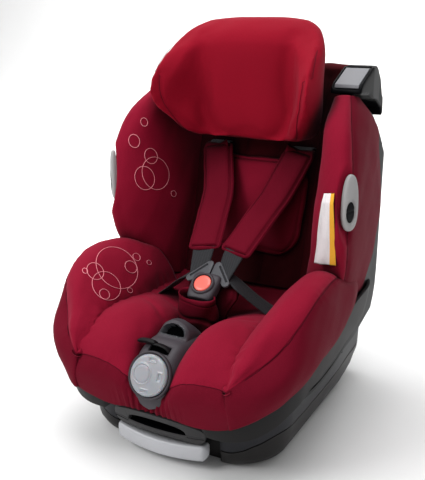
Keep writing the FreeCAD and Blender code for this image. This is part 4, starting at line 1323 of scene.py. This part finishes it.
def base():
    """Tray and upper cover, with the shallow gap between them."""
    tray = base_wall("base_tray_shell", lambda x, y: 0.0, lambda x, y: GROOVE(x, y) - HALF_GAP)
    sole = base_ring(lambda x, y: SOLE_HEIGHT)
    rows = [[(x * f, y * f, SOLE_HEIGHT) for x, y, z in sole] for f in (0.995, 0.02)]
    floor = grid_object("tray_floor", np.array(rows), closed=True)
    thicken(floor, 2.5, 1.0)
    finish(join("base_tray_shell", [tray, floor]), TRAY, "base", ["base_tray"])
    cover = base_wall("base_cover_shell", lambda x, y: GROOVE(x, y) + HALF_GAP, COVER_TOP)
    finish(cover, BAND, "base", ["base_upper_cover"])


# ---------------------------------------------------------------- clips, clamps, tag, rings, seams

CLIP_PROFILE = ((0.02, 5.6), (0.3, 5.5), (0.55, 5.1), (0.78, 4.2), (0.9, 3.2), (0.97, 2.0), (1.0, 0.2),
                (0.985, -2.5), (0.9, -4.0), (0.02, -4.0))
EYE_PROFILE = ((0.02, 4.4), (0.5, 4.1), (0.85, 3.0), (1.0, 1.6), (1.0, 0.4), (0.02, 0.4))


def clips():
    """Oval side clips with a hollow and a dark insert."""
    eyes = []
    for side, sign in SIDES:
        rows = []
        for r, h in CLIP_PROFILE:
            outline = superellipse(12.4 * r, 42.0 * r, 72, 2.5)
            rows.append([(x * (1 - 0.12 * z / 42), h, z) for x, z in outline])
        grid = net(rows, 44, 96, closed_across=True)
        u, v = grid[..., 0], grid[..., 2]
        hollow = np.sqrt((u / 7.4) ** 2 + ((v + 13) / 17.5) ** 2)
        grid[..., 1] -= np.where(grid[..., 1] > 0, 3.4 / (1 + np.exp((hollow - 1.0) / 0.045)), 0)
        grid[..., 1] += np.where(grid[..., 1] > 0, 0.5 * np.exp(-((hollow - 1.12) / 0.07) ** 2), 0)
        plate = grid_object("clip", grid, closed=True, caps=True)
        eye_rows = [[(6.6 * x, h, -13 + 16.6 * z) for x, z in circle(r, 48)] for r, h in EYE_PROFILE]
        eye_grid = net(eye_rows, 24, 72, closed_across=True)
        bar = np.abs(eye_grid[..., 2] + 12 + 0.25 * eye_grid[..., 0])
        eye_grid[..., 1] += np.where(eye_grid[..., 1] > 1.7, -1.0 * np.exp(-(bar / 1.6) ** 2), 0)
        eye = grid_object("eye", eye_grid, closed=True, caps=True)
        turn = Matrix.Rotation(sign * CLIP_TURN + math.pi, 4, "Z")
        centre = Vector(mirror_points(CLIP_CENTRE, sign))
        for piece in (plate, eye):
            piece.data.transform(Matrix.Translation(centre * MM) @ turn)
        finish(plate, CLIP, "shell", ["side_clip_" + side]).name = "side_guide_" + side
        eyes.append(eye)
    finish(join("guide_eyes", eyes), BLACK, "shell", ["clip_inserts"])


def clamps():
    """Moulded belt clamps: the housing softened all round and drawn in at its rear end."""
    for side, sign in SIDES:
        name = "clamp_housing_" + side
        source = NODES[name].data
        housing = mesh_object(name + "_moulded", np.array([v.co for v in source.vertices]) / MM,
                              [tuple(p.vertices) for p in source.polygons])
        apply_modifier(housing, "REMESH", mode="VOXEL", voxel_size=1.5 * MM)
        apply_modifier(housing, "SMOOTH", factor=0.5, iterations=40)
        co = coords(housing) / MM
        co[:, 1] -= 0.34 * np.maximum(co[:, 1] - 150, 0)
        co[:, 2] += 0.55 * np.maximum(512 - co[:, 2], 0)
        outer = np.clip((sign * co[:, 0] - 178) / 20, 0, 1)
        co[:, 0] -= sign * outer * 5.0 * np.clip((co[:, 1] - 120) / 40, 0, 1)
        set_coords(housing, co * MM)
        finish(housing, GLOSS, "shell", [name])
        rounded("clamp_lever_" + side, LEVER, 1.6, 25)


def tag():
    """Blank crinkled tag with a plain amber stripe down its outer edge."""
    down, across = 60, 26
    grid = []
    for i in range(down):
        t = i / (down - 1)
        row = []
        for k in range(across):
            s = k / (across - 1)
            x = 170 - 9 * t + (18 + 18 * t) * s + 1.2 * math.sin(3 * t + 1)
            free = 1 - s
            wave = 1.5 * math.sin(9 * s + 5 * t) * free + 0.8 * math.sin(17 * s - 11 * t) * free
            wave += 1.2 * math.sin(7 * t)
            y = float(np.interp(t, [0, 0.12, 0.6, 0.9, 1], [-46, -51, -50, -45, -43]))
            row.append((x, y - wave + 7 * free ** 2 * (1 - 0.4 * t), 389 - 109 * t + 3 * s))
        grid.append(row)
    piece = grid_object("sewn_tag", np.array(grid))
    limit = 0.70 * (across - 1)
    second_look(piece, lambda i: i % (across - 1) > limit)
    thicken(piece, 0.5, 0.0)
    finish(piece, [LABEL, AMBER], "shell", ["side_tag"])


BACK_RINGS = [(-147, 471, 7), (-168, 437, 11), (-135, 415, 13), (-149, 376, 20), (-126, 386, 28),
              (-89, 353, 5.5)]
SEAT_RINGS = [(-126, -146, 41), (-90, -225, 27), (-146, -177, 16), (-108, -133, 12), (-129, -87, 7.5),
              (-94, -99, 4.8), (-43, -227, 5), (-161, -183, 5), (-70, -258, 9.4)]
RING_TABLES = ((BACK_RINGS, "back", (-0.551, 0.812, -0.191)), (SEAT_RINGS, "seat", (-0.559, 0.760, -0.330)))


def stitched_rings(covers):
    """Thin embroidered circles: drawn on a plane before each cover and laid on it along a slanting line."""
    parts = []
    for table, key, slant in RING_TABLES:
        tree = covers[key, "right"]
        direction = Vector(slant).normalized()
        for a, b, radius in table:
            points = []
            for du, dv in circle(radius, 48):
                u, v = a + du, b + dv
                start = Vector((u, -28, v)) if key == "back" else Vector((u, b, 258 + 0.86 * (v - b)))
                hit = tree.ray_cast((start - direction * 260) * MM, direction)[0]
                if hit is not None:
                    points.append(tuple((hit - direction * 0.0005) / MM))
            if len(points) == 48:
                parts.append(tube("ring", points, 0.5, 96, 6, closed=True))
    finish(join("stitched_rings", parts), RINGS, "shell")


def seam_threads():
    """Dark thread along every sewn seam."""
    for name, lines, body in (("seam_threads", SEAM_LINES, "shell"),
                              ("head_seam_threads", HEAD_SEAMS, "headrest")):
        parts = [tube("thread", line[::2], 0.42, 140, 6) for line in lines]
        finish(join(name, parts), SEAM, body)


# ---------------------------------------------------------------- scene

SWEEP = 1.6
LAMPS = (
    # name, place, aim, power, width
    ("key", (-1.5, -1.9, 2.0), (0, 0, 0.3), 42, 1.3),
    ("top", (0.1, -0.2, 2.6), (0, 0, 0.3), 42, 1.8),
    ("back", (-1.1, 1.0, 2.0), (-1.4, 2.8, 0.3), 90, 2.0),
)


def floor_sweep():
    """Pale floor that sweeps up behind the seat."""
    bend = np.linspace(0.1, math.pi / 2, 16)
    profile = [(-6.0, 0.0), (2.0, 0.0)]
    profile += [(2.0 + SWEEP * math.sin(a), SWEEP - SWEEP * math.cos(a)) for a in bend]
    profile += [(2.0 + SWEEP, 5.0)]
    rows = [[(x, y, z) for x in np.linspace(-8, 8, 9)] for y, z in profile]
    floor = grid_object("floor", np.array(rows) / MM)
    face_toward(floor, (0, 0, 1))
    mat, tree, shader = material("floor_pale")
    fill(shader, {"Base Color": (0.86, 0.86, 0.86, 1), "Roughness": 0.9})
    floor.data.materials.append(mat)


def studio():
    """Pale floor, a pale surround that fades towards one side, and soft lamps."""
    floor_sweep()
    world = bpy.data.worlds.new("studio_world")
    world.use_nodes = True
    world.node_tree.nodes["Background"].inputs["Color"].default_value = (1, 1, 1, 1)
    tree = world.node_tree
    texture = tree.nodes.new("ShaderNodeTexCoord")
    split = tree.nodes.new("ShaderNodeSeparateXYZ")
    link(tree, texture, "Generated", split, "Vector")
    side = node(tree, "ShaderNodeMath", operation="MULTIPLY_ADD")
    side.inputs[1].default_value = -0.45
    link(tree, split, "X", side, 0)
    link(tree, split, "Y", side, 2)
    ramp = ranged(tree, side, "Value", {"From Min": 0.1, "From Max": 0.9, "To Min": 0.40, "To Max": 0.9})
    ramp.interpolation_type = "SMOOTHSTEP"
    link(tree, ramp, "Result", tree.nodes["Background"], "Strength")
    scene = bpy.context.scene
    scene.world = world
    scene.view_settings.view_transform = "Standard"
    for name, place_at, aim, power, width in LAMPS:
        light = bpy.data.lights.new(name, "AREA")
        light.energy = power
        light.size = width
        lamp = bpy.data.objects.new(name, light)
        lamp.location = place_at
        lamp.rotation_euler = (Vector(aim) - Vector(place_at)).to_track_quat("-Z", "Y").to_euler()
        scene.collection.objects.link(lamp)


def camera():
    """The photograph's viewpoint."""
    azimuth, tilt = math.radians(28.58), math.radians(17.0)
    forward = Vector((-math.sin(azimuth) * math.cos(tilt), math.cos(azimuth) * math.cos(tilt),
                      -math.sin(tilt)))
    data = bpy.data.cameras.new("camera")
    data.lens = 55.2
    data.sensor_width = 36.0
    item = bpy.data.objects.new("camera", data)
    item.location = (0.528, -1.034, 0.637)
    item.rotation_euler = forward.to_track_quat("-Z", "Y").to_euler()
    bpy.context.scene.collection.objects.link(item)
    bpy.context.scene.camera = item


camera()
studio()
dress_frame()
COVERS = side_covers()
seat_centre()
back_centre()
back_pad()
headrest()
harness()
console()
disc()
adjuster()
rim()
lip()
handle()
base()
clips()
clamps()
tag()
stitched_rings(COVERS)
seam_threads()
rounded("back_cover", BLACK, 4.0, 20)
rounded("height_knob", SILVER, 1.2, 30)
